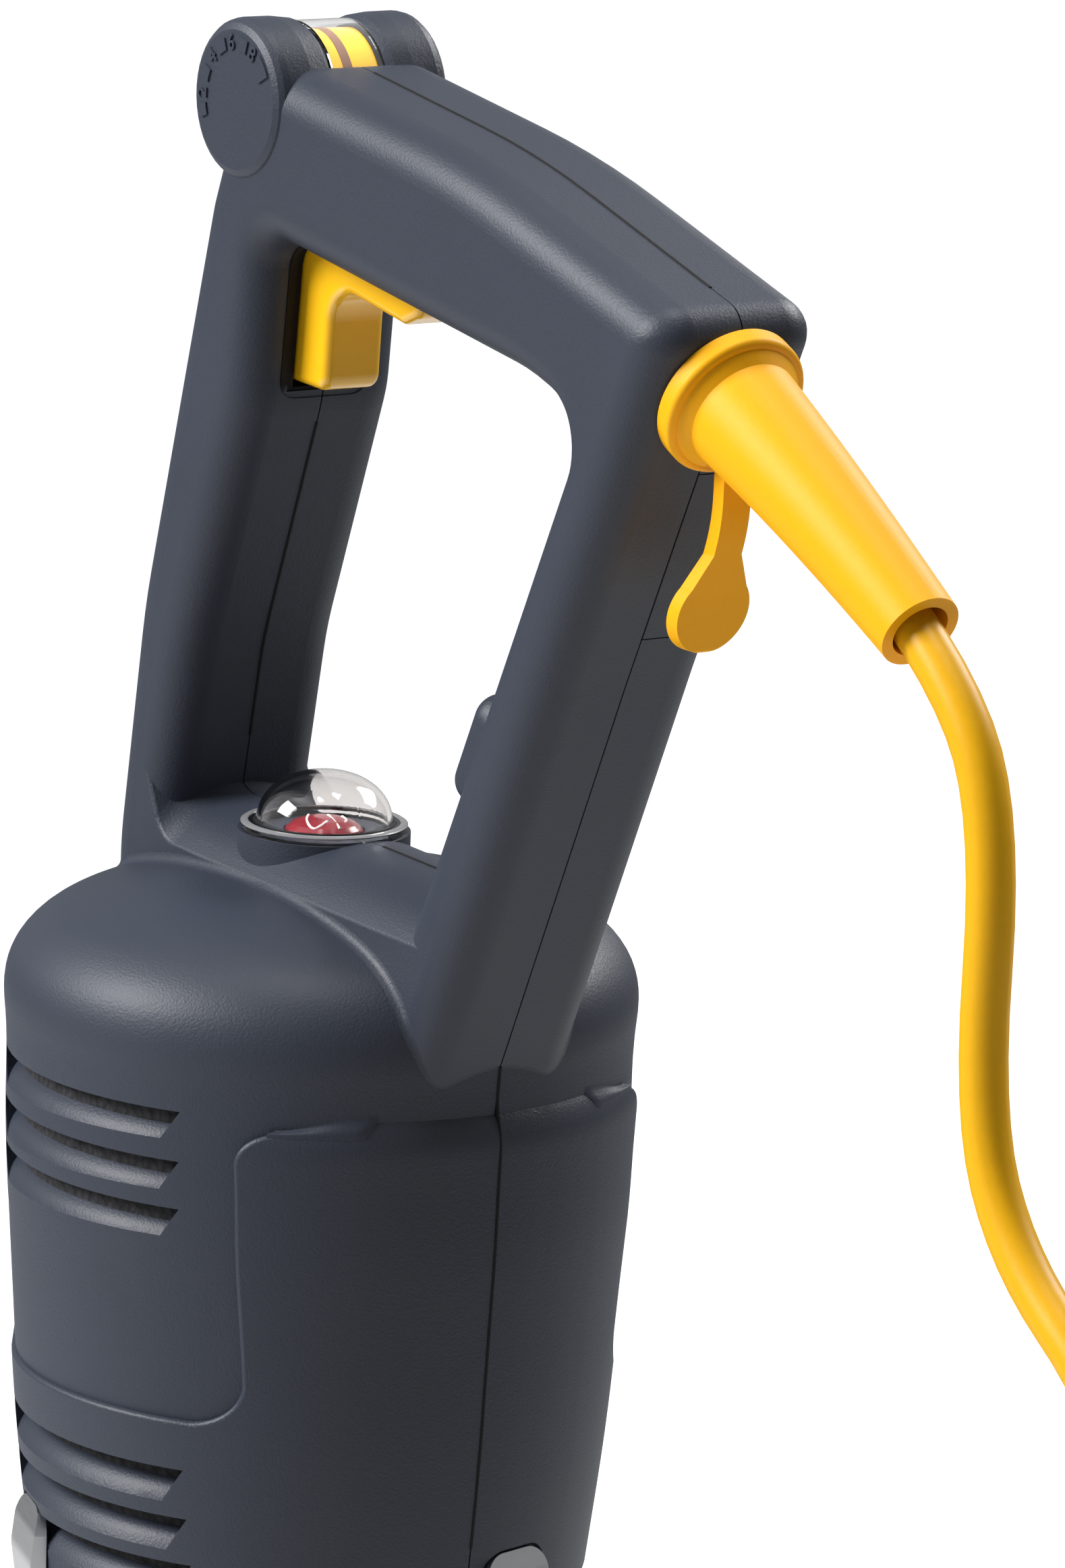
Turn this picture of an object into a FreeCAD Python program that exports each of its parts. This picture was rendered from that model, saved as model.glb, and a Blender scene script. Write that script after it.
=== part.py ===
import FreeCAD, Part
import math
import os

# Upright carpet cleaner, millimetres. +X to the rear (cord side), +Y across, +Z up, the floor is Z = 0.
# The motor head and its D-shaped handle are drawn from the shoulder line at HEAD_Z.

V = FreeCAD.Vector
ORIGIN = V(0, 0, 0)
AX = V(1, 0, 0)
AY = V(0, 1, 0)
AZ = V(0, 0, 1)

# ---- fits ----
WALL = 2.5              # moulded wall of the head
SEAM = 0.3              # between the two halves of the head
RUN = 0.3               # clearance around every moving piece
FIT = 0.05              # radial clearance on a pin or shaft

# ---- motor head ----
HEAD_Z = 830.0
HANDLE_HALF = 18.25     # half the width of the handle across
HANDLE_EDGE = 8.0       # rounding of its long edges
BASE_FILLET = 2.0       # where the handle grows out of the housing
DOME_X = -0.6           # the dome sits this far forward of the housing below it
BAND = 1.1              # how far the raised band stands out
BAND_R = 61.0           # its widest radius
STEP_Z = 4.6            # middle of the soft step at its top
RIM_Z = -93.0           # lower rim of the housing
RIM_R = 53.8
FIELD_Z = -53.0         # lower edge of the plain field on each side
FIELD_HALF = 39.5       # half its width
FIELD_TURN = 7.0        # rounding of its corners
FIELD_EDGE = 0.9        # rounding of the band's edge around it
SADDLE_Z = 50.0         # deck under the hand opening, at the seam
SADDLE_FALL = 0.03      # how much it drops to the rear for each millimetre
CROWN = 8.2             # how much it drops from the seam to its sides
CREASE_EDGE = 1.0       # rounding of the crease along each side of the deck
DECK_DEEP = 40.0        # the deck's block reaches this far down into the housing
FOOT_X = -30.3          # where the deck starts to sweep up into the front post
FOOT_R = 7.5
FOOT_LEAN = 8.0
FOOT_RISE = 17.6
SLOT_DEEP = 38.0        # the posts' inner faces run down this far, under the deck

# outline of the D handle and of its hand opening: x, z, corner radius
OUTLINE = [(-50, 8, 0), (-50.5, 40, 60), (-43.5, 88, 120), (-22.5, 168, 30), (-14, 190, 8),
           (3, 194.8, 8), (62.3, 185.6, 250), (128.6, 165.4, 6), (95, 94.1, 200), (57.6, 11, 0), (55, 8, 0)]
OPENING = [(-32.9, SLOT_DEEP, 3), (-24.5, 81, 60), (-6.2, 131, 25), (-3.2, 162.6, 6),
           (83, 149.4, 60), (99.5, 143.5, 9), (49.4, SLOT_DEEP, 3)]

# the housing's curve as (radius, height): its crown, then the raised band
TOP_CURVE = [(0, 41.4), (24, 40.2), (40, 37.2), (50, 33.6), (56, 29.1), (59.4, 23.9), (60.5, 18)]
PLAIN_CURVE = [(60.1, 12.5), (59.8, 7)]
BAND_CURVE = [(60.85, -3), (60.25, -19), (59.15, -35), (58.1, -51), (56.75, -67.4), (54.9, -83.8)]

# ---- louvres ----
LOUVRES = (6.6, -2.9, -12.0, -62.6, -72.3, -81.5)
LOUVRE_HALF = 30.5
LOUVRE_SIDE = 5.0       # how far each end slants back
LOUVRE_TALL = 7.6
LOUVRE_SLIT = 2.6       # what is left open at the bottom of a scoop
LOUVRE_DEEP = 3.4

# ---- dial between the two ears ----
DIAL_X = -9.7
DIAL_Z = 187.7
EAR_R = 15.3
EAR_OUT = 19.2
EAR_IN = 6.4
DIAL_R = 14.3
DIAL_HALF = 6.0
DRUM_R = 11.2
DIAL_PIN_R = 2.5

# ---- trigger ----
TRIG_HALF = 6.4
SLOT_HALF = 8.2
BEZEL_INNER = 6.8       # half the rim's opening
TRIG_OUTLINE = [(-13, 134.6, 2), (4.0, 133.7, 3), (5.2, 154.4, 6.5), (29.0, 150.2, 2.5), (34.7, 152.5, 3),
                (34.7, 164.5, 2), (5, 170.6, 5), (-10.5, 167, 4)]
TRIG_GAP = 0.9          # between the trigger and its black rim
BEZEL_T = 0.7           # the rim's thickness
TRIG_PIVOT = (-8.5, 139.0)
TRIG_PIN_R = 1.6
TRIG_PIN_IN = 3.85      # its pin ends this far inside the handle's sides

# ---- power button and its clear dome ----
BUTTON_X = -1.4
BUTTON_R = 7.5
BUTTON_Z = 48.6         # edge of the button's crown
BUTTON_TRAVEL = 1.5
BOSS_R = 16.5
BOSS_TOP = 48.9
DOME_R = 13.1
DOME_H = 9.7
DOME_WALL = 0.9
DOME_FLANGE_R = 15.9
DOME_FLANGE_T = 1.5

# ---- lock button inside the rear post ----
LOCK_AT = (67.1, 75.6)
LOCK_HALF_L = 11.6
LOCK_HALF_W = 12.0
LOCK_OUT = 8.4
LOCK_IN = 8.0
LOCK_EDGE = 5.0

# ---- rear face of the handle, where the cord leaves ----
REAR_TILT = 25.16       # degrees the rear post leans from upright
REAR_AT = (121.9, 151.0)
SLEEVE_FLANGE_R = 14.0
SLEEVE_FLANGE_T = 4.0
SLEEVE_ROOT_R = 10.8
SLEEVE_END_R = 7.5
SLEEVE_END = (180.3, 119.4)
SLEEVE_BORE_R = 5.4
PLUG_END_R = 9.5        # the part of the sleeve that sits in the shells
CORD_R = 4.25
LEVER_AT = (7.0, -7.5)  # out from the rear face and along it
LEVER_T = 3.0
LEVER_PIN_R = 1.2

# ---- cord: where it runs (x, y, z), and the coil that the spare length makes ----
COIL_X = 207.0
COIL_R = 75.0           # radius of the middle of its turns
COIL_HALF_W = 15.0
COIL_H = 58.0
COIL_EDGE = 5.0
PLUG_R = 17.0

# ---- coupling ring, latches and recovery tank ----
RING_TALL = 33.0
RING_TOP = HEAD_Z + RIM_Z
RING_BOTTOM = RING_TOP - RING_TALL
RING_R = 53.4
RING_WALL = 4.0
RING_BORE = RING_R - RING_WALL
LATCH_R = 56.0          # circle of the latches' pins
LATCH_Z = RING_BOTTOM + 9.0
LATCH_TOP = RING_TOP + 12.5
LATCH_HALF = 8.2
LATCH_GAP = 0.7         # around a latch in its notch of the rim
LATCH_FACE = 53.75      # radius of its flat inner face
LATCH_CORNER = 5.0
LATCH_EAR = 2.8
LATCH_PIN_R = 1.2
TANK_TOP = RING_TOP
TANK_BOTTOM = 500.0
TANK_R = RING_R
TANK_FOOT_R = TANK_R - 4.0
TANK_WALL = 2.4
INLET_R = 13.0
INLET_TOP = TANK_TOP - 74.0
FLOAT_X = -31.0
FLOAT_R = 10.0
FLOAT_TALL = 20.0
CAGE_R = 12.6
CAGE_BOTTOM = TANK_TOP - 56.0
LATCHES = (("latch_rear", 12.0), ("latch_right", 132.0), ("latch_left", 252.0))

# ---- lower body ----
COL_TOP = 500.0
COL_BOTTOM = 170.0
COL_X = 46.0
COL_Y = 50.0
COL_EDGE = 24.0
PIVOT_Z = 80.0
HUB_R = 18.0
HUB_HALF = 58.0
DUCT_R = 13.0

# ---- clean water tank on the front of the lower body ----
CLEAN_X0 = -96.0
CLEAN_HALF = 46.0
CLEAN_Z0 = 210.0
CLEAN_Z1 = 440.0

# ---- floor head ----
FLOOR_X0 = -150.0
FLOOR_X1 = 96.0
FLOOR_HALF = 128.0
DECK_Z0 = 16.0
DECK_Z1 = 20.0
CHEEK = 4.0
COVER_WALL = 3.0
SADDLE_Y0 = 38.0
SADDLE_Y1 = 54.0
BRUSH_X = -104.0
BRUSH_Z = 27.0
BRUSH_R = 26.5
BRUSH_CORE_R = 14.0
SHAFT_R = 4.0
MOTOR_X = -43.0
MOTOR_Z = 46.0
MOTOR_R = 17.0
MOTOR_LONG = 76.0
BELT_W = 6.0
BELT_Y1 = FLOOR_HALF - 10.0
BELT_Y0 = BELT_Y1 - BELT_W
BRUSH_HALF = BELT_Y0 - 8.0
MOTOR_Y1 = BELT_Y0 - 20.0
MOTOR_Y0 = MOTOR_Y1 - MOTOR_LONG
PULLEY_BIG = 12.0
PULLEY_SMALL = 8.0
BELT_T = 1.6
WHEEL_X = 62.0
WHEEL_R = 46.0
WHEEL_WIDE = 22.0
WHEEL_Y0 = FLOOR_HALF + 3.0
WHEEL_Y1 = WHEEL_Y0 + WHEEL_WIDE
RIM_WHEEL_R = 36.0
AXLE_R = 5.0
NOZZLE_DEEP = 34.0
NOZZLE_HALF = FLOOR_HALF - 6.0
NOZZLE_WALL = 3.0
NOZZLE_MOUTH = 16.0
NOZZLE_TOP = 80.0
SUCTION_R = 11.0
SUCTION_Z = 66.0
SPRAY_IN = 10.0         # spray bar, back from the cover's front
SPRAY_Z = 46.0
SPRAY_R = 4.0
SPRAY_HALF = BRUSH_HALF - 16.0
SPRAY_Y = 60.0          # its two jets
PEDAL_AT = (78.0, 54.5)
PEDAL_Y0 = 62.0
PEDAL_Y1 = 98.0

os.makedirs("parts", exist_ok=True)


def save(name, shape):
    if len(shape.Solids) == 1:
        shape = shape.Solids[0]
    shape.exportStep("parts/" + name + ".step")


def block(x0, x1, y0, y1, z0, z1):
    return Part.makeBox(x1 - x0, y1 - y0, z1 - z0, V(x0, y0, z0))


def rod(radius, start, end):
    d = end - start
    return Part.makeCylinder(radius, d.Length, start, d)


def pin(radius, x, z, half):
    return rod(radius, V(x, -half, z), V(x, half, z))


def ring(outer, inner, start, end):
    d = end - start
    return rod(outer, start, end).cut(rod(inner, start - d * 0.1, end + d * 0.1))


def rounded(pts, y=0.0):
    """A closed outline in the X-Z plane with a tangent arc at each corner."""
    corners = []
    n = len(pts)
    for i in range(n):
        p = V(pts[i][0], y, pts[i][1])
        a = V(pts[i - 1][0], y, pts[i - 1][1]) - p
        b = V(pts[(i + 1) % n][0], y, pts[(i + 1) % n][1]) - p
        if pts[i][2] <= 0:
            corners.append((p, None, p))
            continue
        a.normalize()
        b.normalize()
        half = a.getAngle(b) / 2
        reach = pts[i][2] / math.tan(half)
        bis = (a + b).normalize()
        mid = p + bis * (pts[i][2] / math.sin(half) - pts[i][2])
        corners.append((p + a * reach, mid, p + b * reach))
    edges = []
    for i in range(n):
        p1, mid, p2 = corners[i]
        if mid is not None:
            edges.append(Part.Arc(p1, mid, p2).toShape())
        q = corners[(i + 1) % n][0]
        if (q - p2).Length > 1e-6:
            edges.append(Part.LineSegment(p2, q).toShape())
    return Part.Wire(edges)


def prism(pts, y0, y1, grow=0.0):
    """The outline pts pushed from y0 to y1, grown by grow all round."""
    pts = [(p[0], p[1], p[2] if len(p) > 2 else 0) for p in pts]
    face = Part.Face(rounded(pts, y0))
    if grow:
        face = face.makeOffset2D(grow)
    return face.extrude(V(0, y1 - y0, 0))


def plan_box(x0, x1, y0, y1, z0, z1, r):
    """A box whose four upright edges are rounded."""
    b = block(x0, x1, y0, y1, z0, z1)
    upright = [e for e in b.Edges if abs(e.BoundBox.ZLength - (z1 - z0)) < 1e-6]
    return b.makeFillet(r, upright)


def turned(profile, x=0.0, z=0.0):
    """A profile of (radius, height) spun about a vertical line."""
    pts = [V(r, 0, h) for r, h in profile]
    face = Part.Face(Part.makePolygon(pts + [pts[0]]))
    s = face.revolve(ORIGIN, AZ, 360)
    s.translate(V(x, 0, z))
    return s


def spun_y(profile, x, z):
    """A profile of (radius, y) spun about a line along Y."""
    pts = [V(r, y, 0) for r, y in profile]
    face = Part.Face(Part.makePolygon(pts + [pts[0]]))
    s = face.revolve(ORIGIN, AY, 360)
    s.translate(V(x, 0, z))
    return s


def up(shape):
    """From the head's own height to the machine's."""
    shape.translate(V(0, 0, HEAD_Z))
    return shape


def at_angle(shape, degrees):
    shape.rotate(ORIGIN, AZ, degrees)
    return shape


def soften(shape, radius, pick):
    edges = [e for e in shape.Edges if pick(e)]
    return shape.makeFillet(radius, edges)


# ---------------------------------------------------------------- motor head shells

def crown_radius():
    return (HANDLE_HALF ** 2 + CROWN ** 2) / (2 * CROWN)


def outline_bar():
    """The whole D shape without its hand opening, with its long edges rounded."""
    def long_edge(e):
        b = e.BoundBox
        return b.YLength < 1e-4 and abs(abs(b.YMin) - HANDLE_HALF) < 1e-4 and b.ZMax > 9
    return soften(prism(OUTLINE, -HANDLE_HALF, HANDLE_HALF), HANDLE_EDGE, long_edge)


def deck_section(x, z, inset):
    """A cut through the deck: its top is an arc that falls from the seam to both sides."""
    half = HANDLE_HALF - inset
    r = crown_radius()
    drop = r - inset - math.sqrt((r - inset) ** 2 - half ** 2)
    a, b = V(x, -half, z - drop), V(x, half, z - drop)
    c, d = V(x, half, z - DECK_DEEP), V(x, -half, z - DECK_DEEP)
    arc = Part.Arc(a, V(x, 0, z), b).toShape()
    rest = [Part.LineSegment(p, q).toShape() for p, q in ((b, c), (c, d), (d, a))]
    return Part.Wire([arc] + rest)


def deck_line(x):
    return SADDLE_Z - SADDLE_FALL * x


def deck_block(inset, edge):
    """The deck between the posts. In front it sweeps up into the foot of the post."""
    x0, x1 = OUTLINE[0][0] - 3, OUTLINE[-2][0] + 10
    if not inset:
        top = deck_line(0) + FOOT_RISE
        line = [(x0, top), (FOOT_X - FOOT_LEAN, top), (FOOT_X, deck_line(FOOT_X)), (x1, deck_line(x1))]
        path = rounded_path(line, [0, 2, FOOT_R, 0])
        bar = sweep_upright(deck_section(line[0][0], line[0][1], 0), path)
    else:
        section = Part.Face(deck_section(x0, deck_line(x0) - inset, inset))
        bar = section.extrude(V(x1 - x0, 0, -SADDLE_FALL * (x1 - x0)))
        return bar.common(prism(OUTLINE, -HANDLE_HALF, HANDLE_HALF, -inset - 4))
    if edge:
        bar = soften(bar, edge, lambda e: e.BoundBox.ZMin > 30 and abs(e.BoundBox.YMax) > HANDLE_HALF - 0.01
                     and e.BoundBox.YLength < 0.01 and e.BoundBox.XLength > 0.1)
    return bar.common(outline_bar())


def rounded_path(points, radii):
    """A line through (x, z) points in the plane of the seam, with its corners rounded."""
    edges = []
    start = V(points[0][0], 0, points[0][1])
    for k in range(1, len(points) - 1):
        p, q, n = [V(points[i][0], 0, points[i][1]) for i in (k - 1, k, k + 1)]
        u, w = (p - q).normalize(), (n - q).normalize()
        half_turn = math.acos(max(-1, min(1, u.dot(w)))) / 2
        cut = radii[k] / math.tan(half_turn)
        a, b = q + u * cut, q + w * cut
        mid = (u + w).normalize()
        m = q + mid * (radii[k] / math.sin(half_turn) - radii[k])
        edges.append(Part.LineSegment(start, a).toShape())
        edges.append(Part.Arc(a, m, b).toShape())
        start = b
    edges.append(Part.LineSegment(start, V(points[-1][0], 0, points[-1][1])).toShape())
    return Part.Wire(edges)


def sweep_upright(section, path):
    """Carry a section along a path without turning it."""
    tool = Part.BRepOffsetAPI.MakePipeShell(path)
    tool.setTrihedronMode(V(0, 0, 0), V(1, 0, 0))
    tool.add(section)
    tool.build()
    tool.makeSolid()
    return tool.shape()


def handle_solid(inset, edge, crease):
    half = HANDLE_HALF - inset
    h = prism(OUTLINE, -half, half, -inset)
    h = h.cut(prism(OPENING, -half - 1, half + 1, inset))

    def long_edge(e):
        b = e.BoundBox
        return b.YLength < 1e-4 and abs(abs(b.YMin) - half) < 1e-4 and b.ZMax > 20
    h = soften(h, edge, long_edge)
    return h.fuse(deck_block(inset, crease)).removeSplitter()


def curve_face(points, corners):
    """A face between a smooth curve through points and straight lines on through corners."""
    s = Part.BSplineCurve()
    s.interpolate([V(r, 0, z) for r, z in points])
    loop = [points[-1]] + corners + [points[0]]
    edges = [s.toShape()]
    for a, b in zip(loop[:-1], loop[1:]):
        edges.append(Part.LineSegment(V(a[0], 0, a[1]), V(b[0], 0, b[1])).toShape())
    return Part.Face(Part.Wire(edges))


def plain_housing(inset):
    """The housing without its raised band."""
    curve = [(max(r - inset, 0), z - inset) for r, z in TOP_CURVE]
    curve += [(r - inset, z) for r, z in PLAIN_CURVE]
    curve += [(r - BAND - inset, z) for r, z in BAND_CURVE]
    curve.append((RIM_R - BAND - inset, RIM_Z))
    return curve_face(curve, [(0, RIM_Z)]).revolve(ORIGIN, AZ, 360)


def banded_housing():
    """The raised band, from the soft step at its top to the rim."""
    r, z = BAND_R, STEP_Z
    step = [(r - 2.4, z + 3), (r - 1.5, z + 1.8), (r - 0.7, z), (r - 0.15, z - 2), (r, z - 4)]
    curve = step + BAND_CURVE + [(RIM_R, RIM_Z)]
    return curve_face(curve, [(0, RIM_Z), (0, z + 3)]).revolve(ORIGIN, AZ, 360)


def plain_field():
    """The two side windows where the raised band is left out."""
    top = STEP_Z + 8
    w = FIELD_HALF
    out = w + 14
    pts = [(-out, top), (out, top), (out, STEP_Z), (w, STEP_Z, FIELD_TURN), (w, FIELD_Z, FIELD_TURN + 2),
           (-w, FIELD_Z, FIELD_TURN + 2), (-w, STEP_Z, FIELD_TURN), (-out, STEP_Z)]
    return prism(pts, -80, -20).fuse(prism(pts, 20, 80))


def window_edge(e):
    """True for the band's outer edge round a side window."""
    m = e.valueAt((e.FirstParameter + e.LastParameter) / 2)
    proud = math.hypot(m.x, m.y) - side_radius(min(m.z, PLAIN_CURVE[-1][1])) - BAND
    return abs(m.y) > 20.5 and RIM_Z + 2 < m.z <= STEP_Z and abs(proud) < 0.6


def outer_body():
    plain = plain_housing(0)
    plain.translate(V(DOME_X, 0, 0))
    banded = soften(banded_housing().cut(plain_field()), FIELD_EDGE, window_edge)
    body = plain.fuse(banded).removeSplitter()
    whole = body.fuse(handle_solid(0, HANDLE_EDGE, CREASE_EDGE)).removeSplitter().Solids[0]

    def junction(e):
        b = e.BoundBox
        return e.Length > 4 * HANDLE_HALF and b.YLength < 0.1 and b.ZMin < deck_line(0) - CROWN - WALL * 4
    return soften(whole, BASE_FILLET, junction)


def ears():
    out = []
    for side in (-1, 1):
        prof = [(0, EAR_IN - 0.01), (EAR_R - 1.4, EAR_IN), (EAR_R - 0.4, EAR_IN + 1.2), (EAR_R, EAR_IN + 5),
                (EAR_R, EAR_OUT - 2.8), (EAR_R - 0.3, EAR_OUT - 1.5), (EAR_R - 1, EAR_OUT - 0.6),
                (EAR_R - 2.2, EAR_OUT), (0, EAR_OUT)]
        out.append(spun_y([(r, side * y) for r, y in prof], DIAL_X, DIAL_Z))
    return out


def with_boss(s):
    """The round seat of the power button: level with the deck at the seam, proud of it at the sides."""
    top = rod(BOSS_R, V(BUTTON_X, 0, BOSS_TOP), V(BUTTON_X, 0, BOSS_TOP + 6))
    seat = rod(BOSS_R, V(BUTTON_X, 0, SLOT_DEEP - 4), V(BUTTON_X, 0, BOSS_TOP))
    return s.cut(top).fuse(seat)


def cavity():
    inner = handle_solid(WALL, HANDLE_EDGE - WALL, 0)
    low = plain_housing(WALL)
    low = low.fuse(rod(RIM_R - BAND - WALL, V(0, 0, RIM_Z - 5), V(0, 0, RIM_Z + 0.01)))
    return low.fuse(inner)


def side_radius(z):
    """Radius of the plain housing at height z, below its shoulder."""
    pts = PLAIN_CURVE + [(r - BAND, h) for r, h in BAND_CURVE] + [(RIM_R - BAND, RIM_Z)]
    for (r0, z0), (r1, z1) in zip(pts[:-1], pts[1:]):
        if z >= z1:
            return r0 + (r1 - r0) * (z0 - z) / (z0 - z1)
    return pts[-1][0]


def louvre(top):
    """A scoop that narrows from the surface to a slit through the wall."""
    low = top - LOUVRE_TALL
    deep = side_radius(top) - LOUVRE_DEEP
    skin = side_radius(low) + (BAND if top < FIELD_Z else 0) + 0.3
    far = BAND_R + 2
    slit = top - LOUVRE_SLIT
    back = deep - 6
    lip = V((deep + skin) / 2 + 0.7, 0, (slit + low) / 2 + 0.5)
    ramp = Part.Arc(V(deep, 0, slit), lip, V(skin, 0, low)).toShape()
    loop = [(skin, low), (far, low), (far, top), (back, top), (back, slit), (deep, slit)]
    edges = [ramp]
    for a, b in zip(loop[:-1], loop[1:]):
        edges.append(Part.LineSegment(V(a[0], 0, a[1]), V(b[0], 0, b[1])).toShape())
    scoop = Part.Face(Part.Wire(edges)).revolve(ORIGIN, AZ, 360)
    w = LOUVRE_HALF
    ends = [(-w, top + 0.1), (w, top + 0.1), (w - LOUVRE_SIDE, low - 0.1), (LOUVRE_SIDE - w, low - 0.1)]
    return scoop.common(prism(ends, -75, -30).fuse(prism(ends, 30, 75)))


def trigger_slot(half, grow):
    return prism(TRIG_OUTLINE, -half, half, grow)


def rear_frame(t, s):
    """A point t out from the rear face and s up along it."""
    a = math.radians(REAR_TILT)
    n = (math.cos(a), -math.sin(a))
    u = (math.sin(a), math.cos(a))
    return V(REAR_AT[0] + t * n[0] + s * u[0], 0, REAR_AT[1] + t * n[1] + s * u[1])


def lean(shape):
    """Turn a piece drawn on upright axes at the origin so that its +X is out of the rear face."""
    shape.rotate(ORIGIN, AY, REAR_TILT)
    return shape


def cover_tool(grow):
    b = block(-6 - grow, 3, -grow, 13 + grow, -52.5 - grow, -17 + grow)
    lean(b)
    b.translate(V(REAR_AT[0], SEAM / 2 + 0.05, REAR_AT[1]))
    return b


def lock_tool(grow, inside, outside, corner):
    half_l, half_w = LOCK_HALF_L + grow, LOCK_HALF_W + grow
    b = block(-outside, inside, -half_w, half_w, -half_l, half_l)
    b = b.makeFillet(corner, [e for e in b.Edges if abs(e.BoundBox.XLength - (inside + outside)) < 1e-6])
    lean(b)
    b.translate(V(LOCK_AT[0], 0, LOCK_AT[1]))
    return b


def latch_notch():
    """Room for a latch's upper end in the rim of the housing."""
    half = LATCH_HALF + LATCH_GAP
    top = LATCH_TOP + LATCH_GAP - HEAD_Z
    n = block(LATCH_FACE - LATCH_GAP * 0.6, BAND_R + 2, -half, half, RIM_Z - 2, top)
    corner = [e for e in n.Edges if e.BoundBox.ZMin > top - 0.1 and e.BoundBox.XLength > 2 and e.BoundBox.YLength < 1e-6]
    return n.makeFillet(LATCH_CORNER + LATCH_GAP, corner)


def head_shells():
    s = outer_body()
    for e in ears():
        s = s.fuse(e)
    s = with_boss(s)
    s = s.cut(cavity())
    s = s.cut(pin(DIAL_R + 0.6, DIAL_X, DIAL_Z, EAR_IN))
    s = s.cut(pin(DIAL_PIN_R + FIT, DIAL_X, DIAL_Z, 11))
    s = s.cut(trigger_slot(SLOT_HALF, TRIG_GAP + BEZEL_T))
    s = s.cut(pin(TRIG_PIN_R + FIT, TRIG_PIVOT[0], TRIG_PIVOT[1], HANDLE_HALF - TRIG_PIN_IN + RUN))
    s = s.cut(rod(BUTTON_R + RUN, V(BUTTON_X, 0, 34), V(BUTTON_X, 0, 60)))
    s = s.cut(rod(PLUG_END_R, rear_frame(-6, 0), rear_frame(1, 0)))
    s = s.cut(lock_tool(RUN, LOCK_IN + 1, 4, LOCK_EDGE + RUN))
    for top in LOUVRES:
        s = s.cut(louvre(top))
    for name, a in LATCHES:
        s = s.cut(at_angle(latch_notch(), a))
    left = s.common(block(-80, 150, -70, -SEAM / 2, RIM_Z - 1, 215))
    right = s.common(block(-80, 150, SEAM / 2, 70, RIM_Z - 1, 215))
    cover = right.common(cover_tool(0))
    right = right.cut(cover_tool(0.25))
    return left, right, cover


def biggest(shape):
    return max(shape.Solids, key=lambda x: x.Volume)


def build_head():
    left, right, cover = head_shells()
    save("shell_left", up(biggest(left)))
    save("shell_right", up(biggest(right)))
    save("cable_cover", up(biggest(cover)))


# ---------------------------------------------------------------- controls on the head

def smooth_turn(curve_out, curve_in):
    """A thin dome: an outer and an inner curve of (radius, height) spun about Z."""
    def spline(pts):
        c = Part.BSplineCurve()
        c.interpolate([V(r, 0, z) for r, z in pts])
        return c.toShape()
    a = spline(curve_out)
    b = spline(curve_in)
    ends = [(curve_out[-1], curve_in[-1]), (curve_in[0], curve_out[0])]
    lines = [Part.LineSegment(V(p[0], 0, p[1]), V(q[0], 0, q[1])).toShape() for p, q in ends]
    return Part.Face(Part.Wire([a, lines[0], b, lines[1]])).revolve(ORIGIN, AZ, 360)


def quarter(r, h, z, n=8):
    """A quarter of a full, slightly squarish round, from (r, z) up to (0, z + h)."""
    out = []
    for i in range(n + 1):
        t = i * math.pi / 2 / n
        out.append((r * max(math.cos(t), 0) ** 0.92, z + h * math.sin(t) ** 0.92))
    return out


def build_dial():
    lens = pin(DIAL_R, DIAL_X, DIAL_Z, DIAL_HALF)
    lens = lens.makeFillet(0.8, [e for e in lens.Edges if e.BoundBox.YLength < 1e-4])
    lens = lens.cut(pin(DRUM_R, DIAL_X, DIAL_Z, 20))
    drum = pin(DRUM_R, DIAL_X, DIAL_Z, DIAL_HALF - 0.4)
    drum = drum.fuse(pin(DIAL_PIN_R, DIAL_X, DIAL_Z, 10.5)).removeSplitter()
    save("dial_lens", up(lens))
    save("dial_drum", up(drum))


def build_trigger():
    t = prism(TRIG_OUTLINE, -TRIG_HALF, TRIG_HALF)

    def shown(e):
        b = e.BoundBox
        flat = b.YLength < 1e-4 and abs(abs(b.YMin) - TRIG_HALF) < 1e-4
        return flat and b.ZMin > 130 and b.XMin > -9 and b.ZMax < 160 or flat and b.XMin > 33
    t = soften(t, 1.8, shown)
    x, z = TRIG_PIVOT
    t = t.fuse(rod(3.2, V(x, -TRIG_HALF, z), V(x, TRIG_HALF, z)))
    t = t.fuse(pin(TRIG_PIN_R, x, z, HANDLE_HALF - TRIG_PIN_IN)).removeSplitter()
    save("trigger", up(t))

    band = prism(OPENING, -SLOT_HALF, SLOT_HALF, 6.5).cut(prism(OPENING, -30, 30, 0.3))
    frame = trigger_slot(SLOT_HALF, TRIG_GAP + BEZEL_T).common(band)
    frame = frame.cut(trigger_slot(BEZEL_INNER, TRIG_GAP))
    frame = frame.cut(pin(TRIG_PIN_R + FIT, x, z, 12))
    save("trigger_bezel", up(biggest(frame)))

    sw = block(14, 30, -4, 4, 176, 196).common(cavity())
    save("trigger_switch", up(biggest(sw)))


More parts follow.
